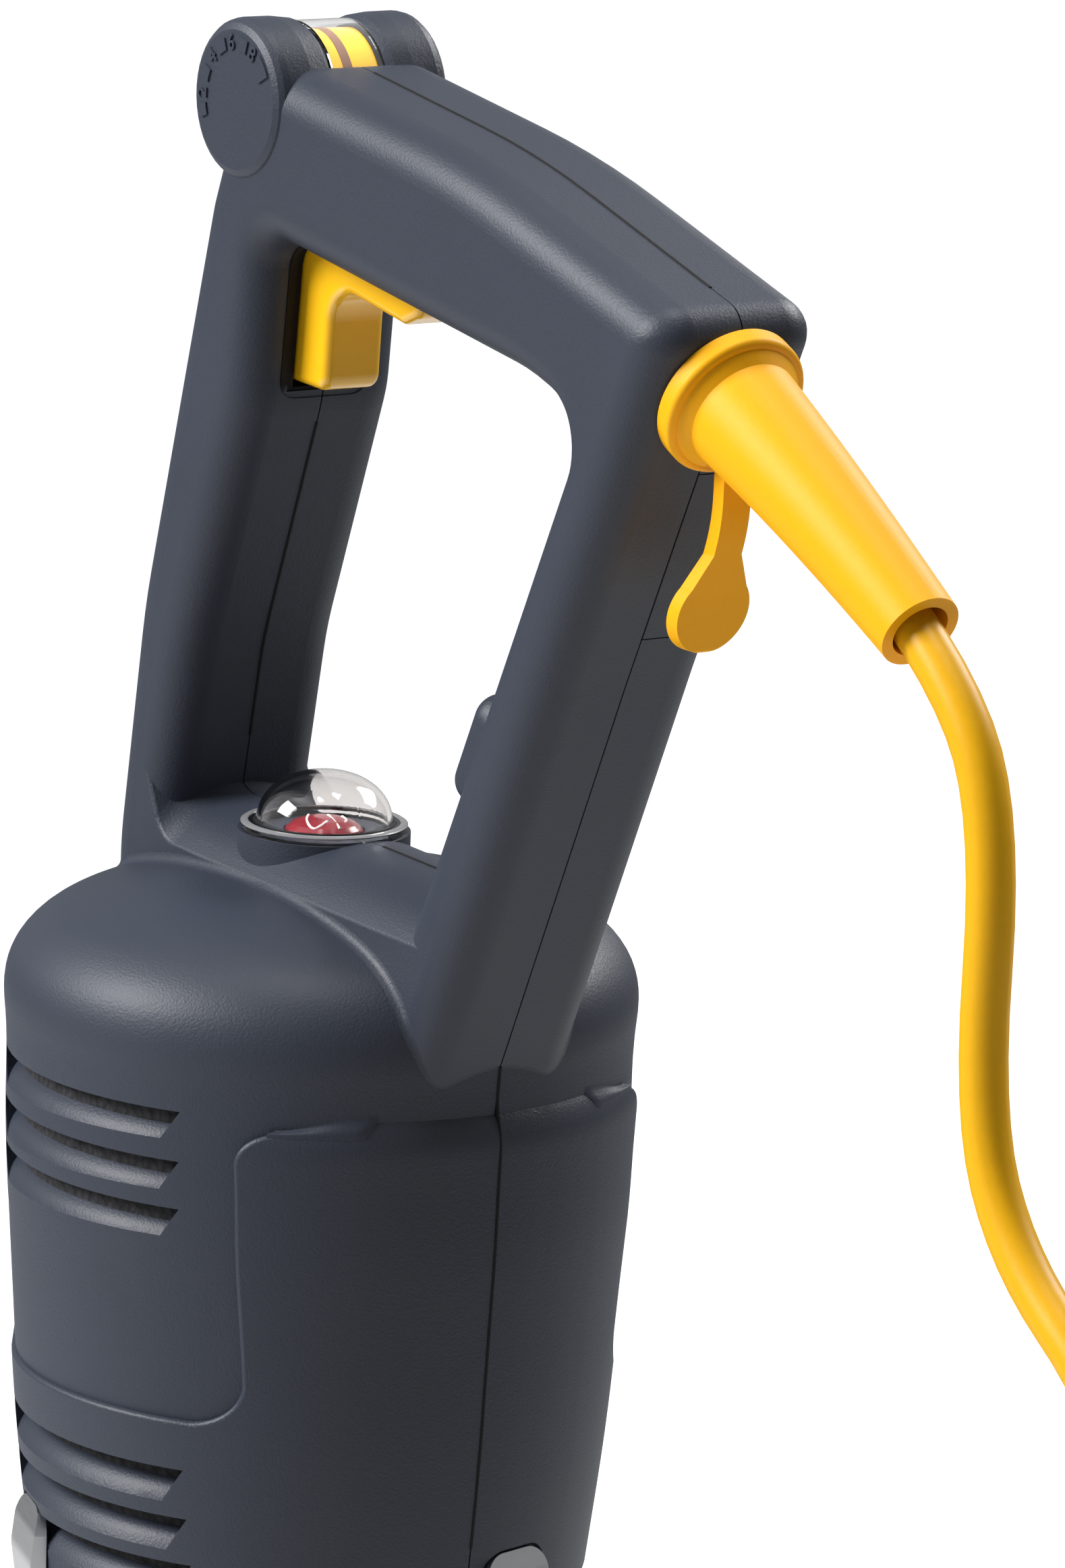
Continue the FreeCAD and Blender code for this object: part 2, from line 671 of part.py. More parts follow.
def build_power():
    r, e = BUTTON_R, BUTTON_Z
    crown = turned([(0, e - 5.9), (r - 0.5, e - 5.9), (r, e - 5.4), (r, e), (r - 0.3, e + 0.6), (r - 1.3, e + 1.5),
                    (r - 3.1, e + 2.3), (r - 5.3, e + 2.7), (0, e + 2.8)], BUTTON_X)
    crown = crown.fuse(rod(2.0, V(BUTTON_X, 0, e - 15), V(BUTTON_X, 0, e - 5))).removeSplitter()
    save("power_button", up(crown))

    z0 = BOSS_TOP + DOME_FLANGE_T
    w = DOME_WALL
    dome = smooth_turn(quarter(DOME_R, DOME_H + 0.6, z0 - 0.6), quarter(DOME_R - w, DOME_H + 0.6 - w, z0 - 0.6))
    flange = turned([(DOME_R - w, BOSS_TOP), (DOME_FLANGE_R, BOSS_TOP), (DOME_FLANGE_R, z0 - 0.3),
                     (DOME_FLANGE_R - 0.4, z0), (DOME_R + 0.6, z0), (DOME_R - 0.2, z0 - 0.5), (DOME_R - w, z0 - 0.5)])
    dome = dome.fuse(flange).removeSplitter()
    dome.translate(V(BUTTON_X, 0, 0))
    save("switch_dome", up(dome))

    tray_z = 25.6
    top = BUTTON_Z - 5.9 - BUTTON_TRAVEL - 0.6
    sw = block(BUTTON_X - 10, BUTTON_X + 10, -8, 8, tray_z + 2.4, top)
    sw = sw.cut(rod(2.0 + RUN, V(BUTTON_X, 0, BUTTON_Z - 15 - BUTTON_TRAVEL - 1), V(BUTTON_X, 0, 50)))
    save("power_switch", up(sw))
    tray = block(-62, 62, -62, 62, tray_z, tray_z + 2.4).common(cavity())
    for x, y in ((-30, 0), (30, 22), (30, -22)):
        tray = tray.cut(rod(7, V(x, y, 20), V(x, y, 30)))
    save("circuit_board", up(biggest(tray)))


def build_lock():
    slug = lock_tool(0, LOCK_IN, LOCK_OUT, LOCK_EDGE)
    tip = [f for f in slug.Faces if f.normalAt(0, 0).x < -0.8]
    slug = slug.makeFillet(LOCK_EDGE - 0.4, tip[0].Edges)
    save("lock_button", up(slug))


def sleeve_axis():
    p0 = rear_frame(SLEEVE_FLANGE_T, 0)
    p2 = V(SLEEVE_END[0], 0, SLEEVE_END[1])
    p1 = rear_frame(SLEEVE_FLANGE_T + 25.5, 0)
    return p0, p1, p2


def bezier(p0, p1, p2, t):
    return p0 * ((1 - t) ** 2) + p1 * (2 * t * (1 - t)) + p2 * (t * t)


def build_sleeve():
    p0, p1, p2 = sleeve_axis()
    rings = []
    n = 6
    for i in range(n + 1):
        t = i / n
        c = bezier(p0, p1, p2, t)
        d = (p1 - p0) * (2 * (1 - t)) + (p2 - p1) * (2 * t)
        r = SLEEVE_ROOT_R + (SLEEVE_END_R - SLEEVE_ROOT_R) * t
        rings.append(Part.Wire(Part.Circle(c, d, r).toShape()))
    cone = Part.makeLoft(rings, True, False)
    flange = rod(SLEEVE_FLANGE_R, rear_frame(0, 0), rear_frame(SLEEVE_FLANGE_T, 0))
    outer_edge = [e for e in flange.Edges if e.BoundBox.XMax > REAR_AT[0] + 9.2]
    flange = flange.makeFillet(1.2, [e for e in outer_edge if len(e.Vertexes) == 1])
    root = Part.makeCone(12.6, SLEEVE_ROOT_R - 0.2, 2.4, rear_frame(SLEEVE_FLANGE_T - 0.2, 0),
                         rear_frame(1, 0) - rear_frame(0, 0))
    plug = rod(PLUG_END_R, rear_frame(-5.5, 0), rear_frame(0.5, 0))
    s = flange.fuse(cone).fuse(root).fuse(plug)
    end = (p2 - p1).normalize()
    s = s.cut(rod(SLEEVE_BORE_R, p2 - end * 14.75, p2 + end * 5))
    lever = rear_frame(LEVER_AT[0], LEVER_AT[1])
    s = s.cut(block(lever.x - 3.6, lever.x + 2.0, -3.5, 3.5, lever.z - 9, lever.z + 2.2))
    s = s.cut(pin(LEVER_PIN_R + FIT, lever.x, lever.z, 5.6))
    save("strain_relief", up(biggest(s)))


def build_lever():
    p = rear_frame(LEVER_AT[0], LEVER_AT[1])
    centre = (p.x, p.z)
    disc_z = 112.0
    side = [(centre[0] - 1.5, centre[1] + 1.2, 0.6), (centre[0] + 1.5, centre[1] + 1.2, 0.6),
            (centre[0] + 1.3, 129, 30), (122.0, 116, 20), (118.2, 104.3, 0.8), (115.4, 105.0, 0.8),
            (118.8, 117, 20), (centre[0] - 1.7, 129, 30)]
    slab = prism(side, -9, 9)
    neck = block(100, 140, -3, 3, disc_z, centre[1] + 2)
    disc = rod(7.6, V(100, 0, disc_z), V(140, 0, disc_z))
    flare = Part.Face(Part.makePolygon([V(100, -5.9, disc_z + 4.8), V(100, 5.9, disc_z + 4.8), V(100, 3, disc_z + 11),
                                        V(100, -3, disc_z + 11), V(100, -5.9, disc_z + 4.8)])).extrude(V(40, 0, 0))
    plate = neck.fuse(disc).fuse(flare).removeSplitter()
    lever = slab.common(plate)
    lever = lever.fuse(pin(LEVER_PIN_R, centre[0], centre[1], 5.3)).removeSplitter()
    save("release_lever", up(biggest(lever)))


# ---------------------------------------------------------------- cord

CORD = [(167.7, 0, HEAD_Z + 127.0), (191.3, 0, HEAD_Z + 112.9), (204, 0, HEAD_Z + 89.2), (202, 0, HEAD_Z + 40),
        (214, 0, HEAD_Z + 16.5), (240.5, 0, HEAD_Z - 0.5), (256.5, 0, HEAD_Z - 28), (262, -2, HEAD_Z - 75),
        (267, -10, HEAD_Z - 158), (272, -22, HEAD_Z - 265), (277, -36, HEAD_Z - 372), (280, -50, HEAD_Z - 480),
        (283, -62, HEAD_Z - 588), (284, -72, 162), (284, -62, 95),
        (283, -33.5, COIL_H + CORD_R + 0.05), (281, 18, COIL_H + CORD_R + 0.05)]


def cord_tube(points, radius):
    pts = [V(*p) for p in points]
    edges = []
    radii = []
    last = pts[0]
    for a, b, c in zip(pts[:-2], pts[1:-1], pts[2:]):
        u = (a - b)
        w = (c - b)
        short = min(u.Length, w.Length)
        u.normalize()
        w.normalize()
        half = u.getAngle(w) / 2
        reach = 0.45 * short
        r = reach * math.tan(half)
        mid = b + (u + w).normalize() * (r / math.sin(half) - r)
        p, q = b + u * reach, b + w * reach
        edges.append(Part.LineSegment(last, p).toShape())
        edges.append(Part.Arc(p, mid, q).toShape())
        radii.append(round(r, 1))
        last = q
    edges.append(Part.LineSegment(last, pts[-1]).toShape())
    wire = Part.Wire(edges)
    disc = Part.Wire(Part.Circle(pts[0], pts[1] - pts[0], radius).toShape())
    tube = wire.makePipeShell([disc], True, True)
    want = math.pi * radius ** 2 * wire.Length
    print("cord radii", radii, "length", round(wire.Length), "volume ratio", round(tube.Volume / want, 4))
    return tube


def build_cord():
    save("power_cord", cord_tube(CORD, CORD_R))
    a, b = COIL_R - COIL_HALF_W, COIL_R + COIL_HALF_W
    c = COIL_EDGE
    coil = turned([(a + c, 0), (b - c, 0), (b, c), (b, COIL_H - c), (b - c, COIL_H), (a + c, COIL_H), (a, COIL_H - c),
                   (a, c)], COIL_X)
    save("cord_coil", coil)
    x = COIL_X - COIL_R
    z = COIL_H + PLUG_R
    body = rod(PLUG_R, V(x, -16, z), V(x, 10, z))
    body = body.fuse(Part.makeCone(12, 6.5, 26, V(x, 10, z), AY))
    save("plug_body", body.removeSplitter())
    pins = [rod(2.4, V(x + s * 9.5, -35, z), V(x + s * 9.5, -16, z)) for s in (-1, 1)]
    save("plug_pins", Part.makeCompound(pins))


# ---------------------------------------------------------------- motor and filters

def build_motor():
    plate = rod(RIM_R - BAND - WALL, V(0, 0, RIM_Z), V(0, 0, RIM_Z + 5))
    plate = plate.cut(rod(16, V(0, 0, RIM_Z - 1), V(0, 0, RIM_Z + 6)))
    save("bulkhead", up(plate))

    base = RIM_Z + 5
    case = turned([(16, base), (44, base), (44, base + 32), (4.6, base + 32), (4.6, base + 29.6), (41.6, base + 29.6),
                   (41.6, base + 2.4), (16, base + 2.4)])
    for a in range(0, 360, 45):
        port = block(38, 48, -9, 9, base + 8, base + 24)
        port.rotate(ORIGIN, AZ, a)
        case = case.cut(port)
    save("fan_case", up(case))

    z = base + 6
    fan = rod(39, V(0, 0, z), V(0, 0, z + 1.6)).fuse(rod(39, V(0, 0, z + 14.4), V(0, 0, z + 16)))
    fan = fan.cut(rod(14, V(0, 0, z - 1), V(0, 0, z + 3)))
    for a in range(0, 360, 45):
        blade = block(8, 38, -0.8, 0.8, z + 0.8, z + 15)
        blade.rotate(V(8, 0, 0), AZ, 28)
        blade.rotate(ORIGIN, AZ, a)
        fan = fan.fuse(blade)
    fan = fan.fuse(rod(9, V(0, 0, z + 1), V(0, 0, z + 15)))
    fan = fan.fuse(rod(SHAFT_R, V(0, 0, z + 1), V(0, 0, base + 60))).removeSplitter()
    save("impeller", up(biggest(fan)))

    top = base + 32
    can = turned([(SHAFT_R + FIT, top), (30, top), (35, top + 4), (35, top + 42), (30, top + 50), (13, top + 52),
                  (13, top + 60), (0, top + 60), (0, top + 50), (SHAFT_R + FIT, top + 50)])
    for a in range(0, 360, 60):
        win = block(30, 40, -5, 5, top + 10, top + 34)
        win.rotate(ORIGIN, AZ, a)
        can = can.cut(win)
    save("suction_motor", up(can))

    room = cavity()
    upper = ring(62, 51, V(0, 0, -20), V(0, 0, 9)).common(room)
    lower = ring(62, 48.6, V(0, 0, base), V(0, 0, -54)).common(room)
    save("exhaust_foam", up(biggest(upper)))
    save("intake_foam", up(biggest(lower)))


# ---------------------------------------------------------------- coupling ring and recovery tank

def build_ring():
    r = ring(RING_R, RING_BORE, V(0, 0, RING_BOTTOM), V(0, 0, RING_TOP))
    for name, a in LATCHES:
        ear = LATCH_HALF + LATCH_EAR
        for side in (-1, 1):
            y = sorted((side * (LATCH_HALF + RUN), side * ear))
            lug = block(RING_R - 2, LATCH_R + 2.4, y[0], y[1], LATCH_Z - 3.4, LATCH_Z + 3.4)
            r = r.fuse(at_angle(lug, a))
        axle = rod(LATCH_PIN_R, V(LATCH_R, -ear, LATCH_Z), V(LATCH_R, ear, LATCH_Z))
        r = r.fuse(at_angle(axle, a))
        save(name, at_angle(build_latch(), a))
    save("coupling_ring", r.removeSplitter())


def build_latch():
    """A bowed plate with rounded upper corners, on a knuckle."""
    f, top, low = LATCH_FACE, LATCH_TOP, LATCH_Z
    half = LATCH_HALF
    side = [(f, low, 0), (f, top, 0), (f + 1.2, top, 0), (f + 2.4, top - 4.5, 8), (f + 3.1, top - 10.5, 8),
            (f + 2.2, top - 17, 10), (f + 2.4, top - 26, 10), (f + 4.0, low + 2, 1), (f + 3.6, low, 0)]
    plate = prism(side, -half, half)

    def corner(e):
        b = e.BoundBox
        return b.ZMin > top - 0.1 and b.YLength < 1e-6 and b.XLength > 1
    plate = soften(plate, LATCH_CORNER, corner)
    plate = plate.fuse(rod(2.2, V(LATCH_R, -half, low), V(LATCH_R, half, low)))
    plate = plate.cut(rod(LATCH_PIN_R + FIT, V(LATCH_R, -20, low), V(LATCH_R, 20, low)))
    return plate.removeSplitter()


def build_tank():
    w = TANK_WALL
    n = RING_BORE
    b = RING_BOTTOM
    f = TANK_BOTTOM
    foot = TANK_FOOT_R
    prof = [(0, f), (foot - 5, f), (foot, f + 5), (TANK_R, b - 14), (TANK_R, b), (n, b), (n, TANK_TOP),
            (n - w, TANK_TOP), (n - w, b - 6), (TANK_R - w, b - 14), (foot - w, f + 7), (foot - w - 4, f + 3),
            (0, f + 3)]
    tank = turned(prof)
    tank = tank.cut(rod(INLET_R, V(0, 0, f - 1), V(0, 0, f + 5)))
    save("recovery_tank", tank)

    tube = ring(INLET_R, INLET_R - 2, V(0, 0, f), V(0, 0, INLET_TOP))
    hat = turned([(0, INLET_TOP + 10), (16, INLET_TOP + 7), (16, INLET_TOP + 9), (0, INLET_TOP + 12)])
    for a in (30, 150, 270):
        leg = block(INLET_R - 2, INLET_R, -2, 2, INLET_TOP - 1, INLET_TOP + 9)
        tube = tube.fuse(at_angle(leg, a))
    save("inlet_tube", tube.fuse(hat).removeSplitter())

    c = CAGE_BOTTOM
    cage = ring(CAGE_R, FLOAT_R + 0.8, V(FLOAT_X, 0, c), V(FLOAT_X, 0, TANK_TOP))
    cage = cage.fuse(ring(CAGE_R, 7, V(FLOAT_X, 0, c), V(FLOAT_X, 0, c + 2)))
    for a in (0, 60, 120):
        win = at_angle(block(-20, 20, -3.4, 3.4, c + 6, TANK_TOP - 14), a)
        win.translate(V(FLOAT_X, 0, 0))
        cage = cage.cut(win)
    save("float_cage", cage.removeSplitter())
    z = c + 2
    t = FLOAT_TALL
    ball = turned([(0, z), (6, z), (FLOAT_R, z + 5), (FLOAT_R, z + t - 5), (6, z + t), (0, z + t)], FLOAT_X)
    save("float_plug", ball)


# ---------------------------------------------------------------- lower body

def build_column():
    w = WALL
    body = plan_box(-COL_X, COL_X, -COL_Y, COL_Y, COL_BOTTOM, COL_TOP, COL_EDGE)
    room = plan_box(-COL_X + w, COL_X - w, -COL_Y + w, COL_Y - w, COL_BOTTOM + 4, COL_TOP - 4, COL_EDGE - w)
    body = body.cut(room)
    body = body.cut(rod(DUCT_R, V(0, 0, COL_BOTTOM - 1), V(0, 0, COL_TOP + 1)))
    shelf = plan_box(CLEAN_X0 - 1, -COL_X + 8, -CLEAN_HALF, CLEAN_HALF, CLEAN_Z0 - 10, CLEAN_Z0, 7)
    shelf = shelf.cut(room)
    body = body.fuse(shelf).removeSplitter()
    front = body.common(block(-200, -SEAM / 2, -100, 100, 0, 600))
    rear = body.common(block(SEAM / 2, 200, -100, 100, 0, 600))
    save("lower_front", biggest(front))
    save("lower_rear", biggest(rear))
    save("riser_duct", ring(DUCT_R, DUCT_R - 2, V(0, 0, PIVOT_Z + 24), V(0, 0, COL_TOP)))

    hub = rod(HUB_R, V(0, -HUB_HALF, PIVOT_Z), V(0, HUB_HALF, PIVOT_Z))
    hub = hub.fuse(rod(HUB_R, V(0, 0, PIVOT_Z), V(0, 0, COL_BOTTOM))).removeSplitter()
    hub = hub.fuse(rod(30, V(0, 0, COL_BOTTOM - 5), V(0, 0, COL_BOTTOM)))
    hub = hub.cut(rod(HUB_R - 4, V(0, -HUB_HALF + 5, PIVOT_Z), V(0, HUB_HALF - 5, PIVOT_Z)))
    hub = hub.cut(rod(DUCT_R - 2, V(0, 0, PIVOT_Z), V(0, 0, PIVOT_Z + 30)))
    port = block(-HUB_R - 2, 8, -SUCTION_R + 2, SUCTION_R - 2, PIVOT_Z - HUB_R - 2, PIVOT_Z - 4)
    hub = hub.cut(port)
    hub = hub.cut(rod(DUCT_R, V(0, 0, PIVOT_Z + 24), V(0, 0, COL_BOTTOM + 1)))
    save("pivot_hub", biggest(hub.removeSplitter()))


def build_clean_tank():
    x1 = -COL_X
    t = plan_box(CLEAN_X0, x1, -CLEAN_HALF, CLEAN_HALF, CLEAN_Z0, CLEAN_Z1, 10)
    t = t.makeFillet(4, [e for e in t.Edges if e.BoundBox.ZMin > CLEAN_Z1 - 0.1])
    room = plan_box(CLEAN_X0 + 2.2, x1 - 2.2, -CLEAN_HALF + 2.2, CLEAN_HALF - 2.2, CLEAN_Z0 + 2.2, CLEAN_Z1 - 2.2, 7)
    t = t.cut(room)
    cx = (CLEAN_X0 + x1) / 2
    t = t.fuse(rod(14, V(cx, 0, CLEAN_Z1 - 2.2), V(cx, 0, CLEAN_Z1 + 12)))
    t = t.cut(rod(11.6, V(cx, 0, CLEAN_Z1 - 5), V(cx, 0, CLEAN_Z1 + 13)))
    save("clean_tank", t.removeSplitter())
    cap = rod(18, V(cx, 0, CLEAN_Z1 + 0.4), V(cx, 0, CLEAN_Z1 + 15))
    for a in range(0, 360, 30):
        rib = rod(1.4, V(18, 0, CLEAN_Z1 + 2), V(18, 0, CLEAN_Z1 + 13))
        rib.rotate(ORIGIN, AZ, a)
        rib.translate(V(cx, 0, 0))
        cap = cap.fuse(rib)
    cap = cap.cut(rod(14 + FIT, V(cx, 0, CLEAN_Z1 - 1), V(cx, 0, CLEAN_Z1 + 12)))
    save("clean_cap", cap.removeSplitter())


# ---------------------------------------------------------------- floor head

def cover_outline():
    return [(FLOOR_X0, DECK_Z1, 0), (FLOOR_X0, 78, 10), (-62, 112, 40), (38, 112, 30), (FLOOR_X1, 68, 12),
            (FLOOR_X1, DECK_Z1, 0)]


def build_chassis():
    deck = plan_box(FLOOR_X0, FLOOR_X1, -FLOOR_HALF, FLOOR_HALF, DECK_Z0, DECK_Z1, 10)
    deck = deck.cut(block(BRUSH_X - 30, BRUSH_X + 30, -BRUSH_HALF - 2, BRUSH_HALF + 2, 0, 30))
    deck = deck.cut(block(BRUSH_X - 17, BRUSH_X + 28, BELT_Y0 - 2, BELT_Y1 + 1.5, 0, 30))
    for y in (-SPRAY_Y, SPRAY_Y):
        deck = deck.cut(block(FLOOR_X0 + SPRAY_IN - 6, BRUSH_X - 29, y - 7, y + 7, 0, 30))
    inner = FLOOR_HALF - COVER_WALL
    for s in (-1, 1):
        y = sorted((s * (inner - CHEEK), s * inner))
        deck = deck.fuse(block(BRUSH_X - 9, BRUSH_X + 9, y[0], y[1], DECK_Z1, BRUSH_Z + 9))
        y = sorted((s * SADDLE_Y0, s * SADDLE_Y1))
        deck = deck.fuse(block(-25, 25, y[0], y[1], DECK_Z1, PIVOT_Z))
        y = sorted((s * (FLOOR_HALF - 24), s * (FLOOR_HALF - 16)))
        deck = deck.fuse(block(WHEEL_X - 11, WHEEL_X + 11, y[0], y[1], DECK_Z1, WHEEL_R + 11))
        y = sorted((s * (FLOOR_HALF - 36), s * (FLOOR_HALF - 6)))
        deck = deck.fuse(block(FLOOR_X0 + 3, FLOOR_X0 + 13, y[0], y[1], 0, DECK_Z0))
    for y in (PEDAL_Y0 - 5, PEDAL_Y1 + 1):
        deck = deck.fuse(block(PEDAL_AT[0] - 6, PEDAL_AT[0] + 6, y, y + 4, DECK_Z1, PEDAL_AT[1] + 6))
    deck = deck.cut(pin(HUB_R + RUN, 0, PIVOT_Z, 70))
    deck = deck.cut(pin(SHAFT_R + FIT, BRUSH_X, BRUSH_Z, inner - 1.2))
    deck = deck.cut(pin(AXLE_R, WHEEL_X, WHEEL_R, FLOOR_HALF + 2))
    deck = deck.cut(rod(3, V(PEDAL_AT[0], PEDAL_Y0 - 12, PEDAL_AT[1]), V(PEDAL_AT[0], PEDAL_Y1 + 12, PEDAL_AT[1])))
    save("chassis", deck.removeSplitter())

    for name, s in (("pivot_cap_left", -1), ("pivot_cap_right", 1)):
        y = sorted((s * SADDLE_Y0, s * SADDLE_Y1))
        cap = rod(HUB_R + 6, V(0, y[0], PIVOT_Z), V(0, y[1], PIVOT_Z))
        cap = cap.fuse(block(-25, 25, y[0], y[1], PIVOT_Z, PIVOT_Z + 5))
        cap = cap.cut(pin(HUB_R + RUN, 0, PIVOT_Z, 70))
        cap = cap.common(block(-40, 40, -SADDLE_Y1 - 6, SADDLE_Y1 + 6, PIVOT_Z, PIVOT_Z + 40))
        save(name, cap.removeSplitter())


def build_cover():
    shell = prism(cover_outline(), -FLOOR_HALF, FLOOR_HALF)
    shell = shell.makeFillet(6, [e for e in shell.Edges
                                 if e.BoundBox.YLength < 1e-4 and e.BoundBox.ZMax > 60])
    room = prism(cover_outline(), -FLOOR_HALF + COVER_WALL, FLOOR_HALF - COVER_WALL, -COVER_WALL)
    room = room.fuse(block(FLOOR_X0 + COVER_WALL, FLOOR_X1 - COVER_WALL, -FLOOR_HALF + COVER_WALL,
                           FLOOR_HALF - COVER_WALL, DECK_Z1 - 1, DECK_Z1 + 10))
    shell = shell.cut(room)
    shell = shell.cut(block(-HUB_R - 2, 62, -HUB_R - 2, HUB_R + 2, 60, 130))
    shell = shell.cut(rod(SUCTION_R, V(FLOOR_X0 - 2, 0, SUCTION_Z), V(FLOOR_X0 + 16, 0, SUCTION_Z)))
    shell = shell.cut(pin(AXLE_R + 0.5, WHEEL_X, WHEEL_R, FLOOR_HALF + 12))
    shell = shell.cut(block(FLOOR_X1 - 6, FLOOR_X1 + 4, PEDAL_Y0 - 2, PEDAL_Y1 + 2, 36, 64))
    save("top_cover", shell.removeSplitter())


def build_nozzle():
    x = FLOOR_X0
    f = x - NOZZLE_DEEP
    w = NOZZLE_WALL
    lip = f + NOZZLE_MOUTH + 2 * w
    out = [(f, 0, 1), (lip, 0, 1), (x, 30, 0), (x, NOZZLE_TOP, 2), (f + 16, NOZZLE_TOP, 8), (f, 42, 20)]
    room = [(f + w, -5, 0), (lip - w, -5, 0), (lip - w, 2, 0), (x - w - 0.5, 30, 0), (x - w - 0.5, NOZZLE_TOP - w, 0),
            (f + 16 + 2, NOZZLE_TOP - w, 4), (f + w, 42, 18)]
    body = prism(out, -NOZZLE_HALF, NOZZLE_HALF).cut(prism(room, -NOZZLE_HALF + w, NOZZLE_HALF - w))
    body = body.cut(rod(SUCTION_R, V(x - w - 5, 0, SUCTION_Z), V(x + 2, 0, SUCTION_Z)))
    frame = block(f - w, f + 14, -NOZZLE_HALF + 14, NOZZLE_HALF - 14, 12, NOZZLE_TOP - 18)
    save("nozzle", biggest(body.cut(frame)))
    save("nozzle_window", biggest(body.common(frame)))
    start = V(x - w - 0.5, 0, SUCTION_Z)
    duct = ring(SUCTION_R, SUCTION_R - 2, start, V(0, 0, SUCTION_Z))
    duct = duct.cut(pin(HUB_R + RUN, 0, PIVOT_Z, 60))
    save("suction_duct", biggest(duct))


def build_brush():
    core = pin(BRUSH_CORE_R, BRUSH_X, BRUSH_Z, BRUSH_HALF)
    inner = FLOOR_HALF - COVER_WALL
    core = core.fuse(pin(SHAFT_R, BRUSH_X, BRUSH_Z, inner - 1.6))
    big = rod(PULLEY_BIG, V(BRUSH_X, BELT_Y0, BRUSH_Z), V(BRUSH_X, BELT_Y1, BRUSH_Z))
    save("brush_core", core.fuse(big).removeSplitter())

    rows = []
    pitch = 13.0
    n = int(2 * (BRUSH_HALF - 4) / pitch)
    for i in range(n + 1):
        y = -BRUSH_HALF + 4 + i * pitch
        for k in range(4):
            a = 90.0 * k + i * 12.0
            tuft = Part.makeCone(3.2, 4.0, BRUSH_R - BRUSH_CORE_R + 0.6, V(BRUSH_X, y, BRUSH_Z + BRUSH_CORE_R - 0.6), AZ)
            tuft.rotate(V(BRUSH_X, 0, BRUSH_Z), AY, a)
            rows.append(tuft)
    sleeve = ring(BRUSH_CORE_R + 1.2, BRUSH_CORE_R, V(BRUSH_X, -BRUSH_HALF + 1, BRUSH_Z), V(BRUSH_X, BRUSH_HALF - 1, BRUSH_Z))
    bristles = sleeve.multiFuse(rows)
    bristles = bristles.cut(pin(BRUSH_CORE_R, BRUSH_X, BRUSH_Z, 130))
    save("brush_bristles", biggest(bristles))


def loop(r1, r2, y0, y1):
    """The outline that a belt takes round two wheels."""
    a = V(BRUSH_X, y0, BRUSH_Z)
    b = V(MOTOR_X, y0, MOTOR_Z)
    d = b - a
    turn = math.atan2(d.z, d.x)
    open_angle = math.acos((r1 - r2) / d.Length)

    def on(c, r, t):
        return V(c.x + r * math.cos(t), y0, c.z + r * math.sin(t))
    t1, t2 = turn + open_angle, turn - open_angle
    edges = [Part.LineSegment(on(a, r1, t1), on(b, r2, t1)).toShape(),
             Part.Arc(on(b, r2, t1), on(b, r2, turn), on(b, r2, t2)).toShape(),
             Part.LineSegment(on(b, r2, t2), on(a, r1, t2)).toShape(),
             Part.Arc(on(a, r1, t2), on(a, r1, turn + math.pi), on(a, r1, t1)).toShape()]
    return Part.Face(Part.Wire(edges)).extrude(V(0, y1 - y0, 0))


def build_drive():
    motor = rod(MOTOR_R, V(MOTOR_X, MOTOR_Y0, MOTOR_Z), V(MOTOR_X, MOTOR_Y1, MOTOR_Z))
    motor = motor.fuse(rod(8, V(MOTOR_X, MOTOR_Y1, MOTOR_Z), V(MOTOR_X, MOTOR_Y1 + 5, MOTOR_Z)))
    motor = motor.fuse(block(MOTOR_X - 12, MOTOR_X + 12, MOTOR_Y0 + 8, MOTOR_Y1 - 8, DECK_Z1, MOTOR_Z - 10))
    motor = motor.cut(rod(3 + FIT, V(MOTOR_X, MOTOR_Y1 - 32, MOTOR_Z), V(MOTOR_X, MOTOR_Y1 + 8, MOTOR_Z)))
    save("brush_motor", motor.removeSplitter())
    wheel = rod(PULLEY_SMALL, V(MOTOR_X, BELT_Y0, MOTOR_Z), V(MOTOR_X, BELT_Y1, MOTOR_Z))
    wheel = wheel.fuse(rod(3, V(MOTOR_X, MOTOR_Y1 - 28, MOTOR_Z), V(MOTOR_X, BELT_Y1 + 1, MOTOR_Z)))
    save("motor_pulley", wheel.removeSplitter())
    g = RUN
    belt = loop(PULLEY_BIG + g + BELT_T, PULLEY_SMALL + g + BELT_T, BELT_Y0 + 0.3, BELT_Y1 - 0.3)
    belt = belt.cut(loop(PULLEY_BIG + g, PULLEY_SMALL + g, BELT_Y0 - 1, BELT_Y1 + 1))
    save("drive_belt", belt)


def build_wet():
    pump = block(-34, 6, -96, -62, DECK_Z1, 52)
    pump = pump.makeFillet(3, [e for e in pump.Edges if e.BoundBox.ZMax > 51 and e.BoundBox.ZLength > 5])
    pump = pump.fuse(rod(13, V(-20, -79, 50), V(-20, -79, 62)))
    pump = pump.fuse(rod(4, V(4, -79, 36), V(16, -79, 36)))
    save("pump", pump.removeSplitter())
    x = FLOOR_X0 + SPRAY_IN
    z = SPRAY_Z
    bar = rod(SPRAY_R, V(x, -SPRAY_HALF, z), V(x, SPRAY_HALF, z))
    for y in (-SPRAY_Y, SPRAY_Y):
        bar = bar.fuse(rod(SPRAY_R + 1, V(x, y, z - 12), V(x, y, z)))
        bar = bar.fuse(Part.makeCone(2, SPRAY_R + 1, 6, V(x, y, z - 18), AZ))
    for y in (4 - SPRAY_HALF, SPRAY_HALF - 4):
        bar = bar.fuse(block(x - SPRAY_R, x + SPRAY_R, y - 3, y + 3, DECK_Z1, z))
    save("spray_bar", bar.removeSplitter())


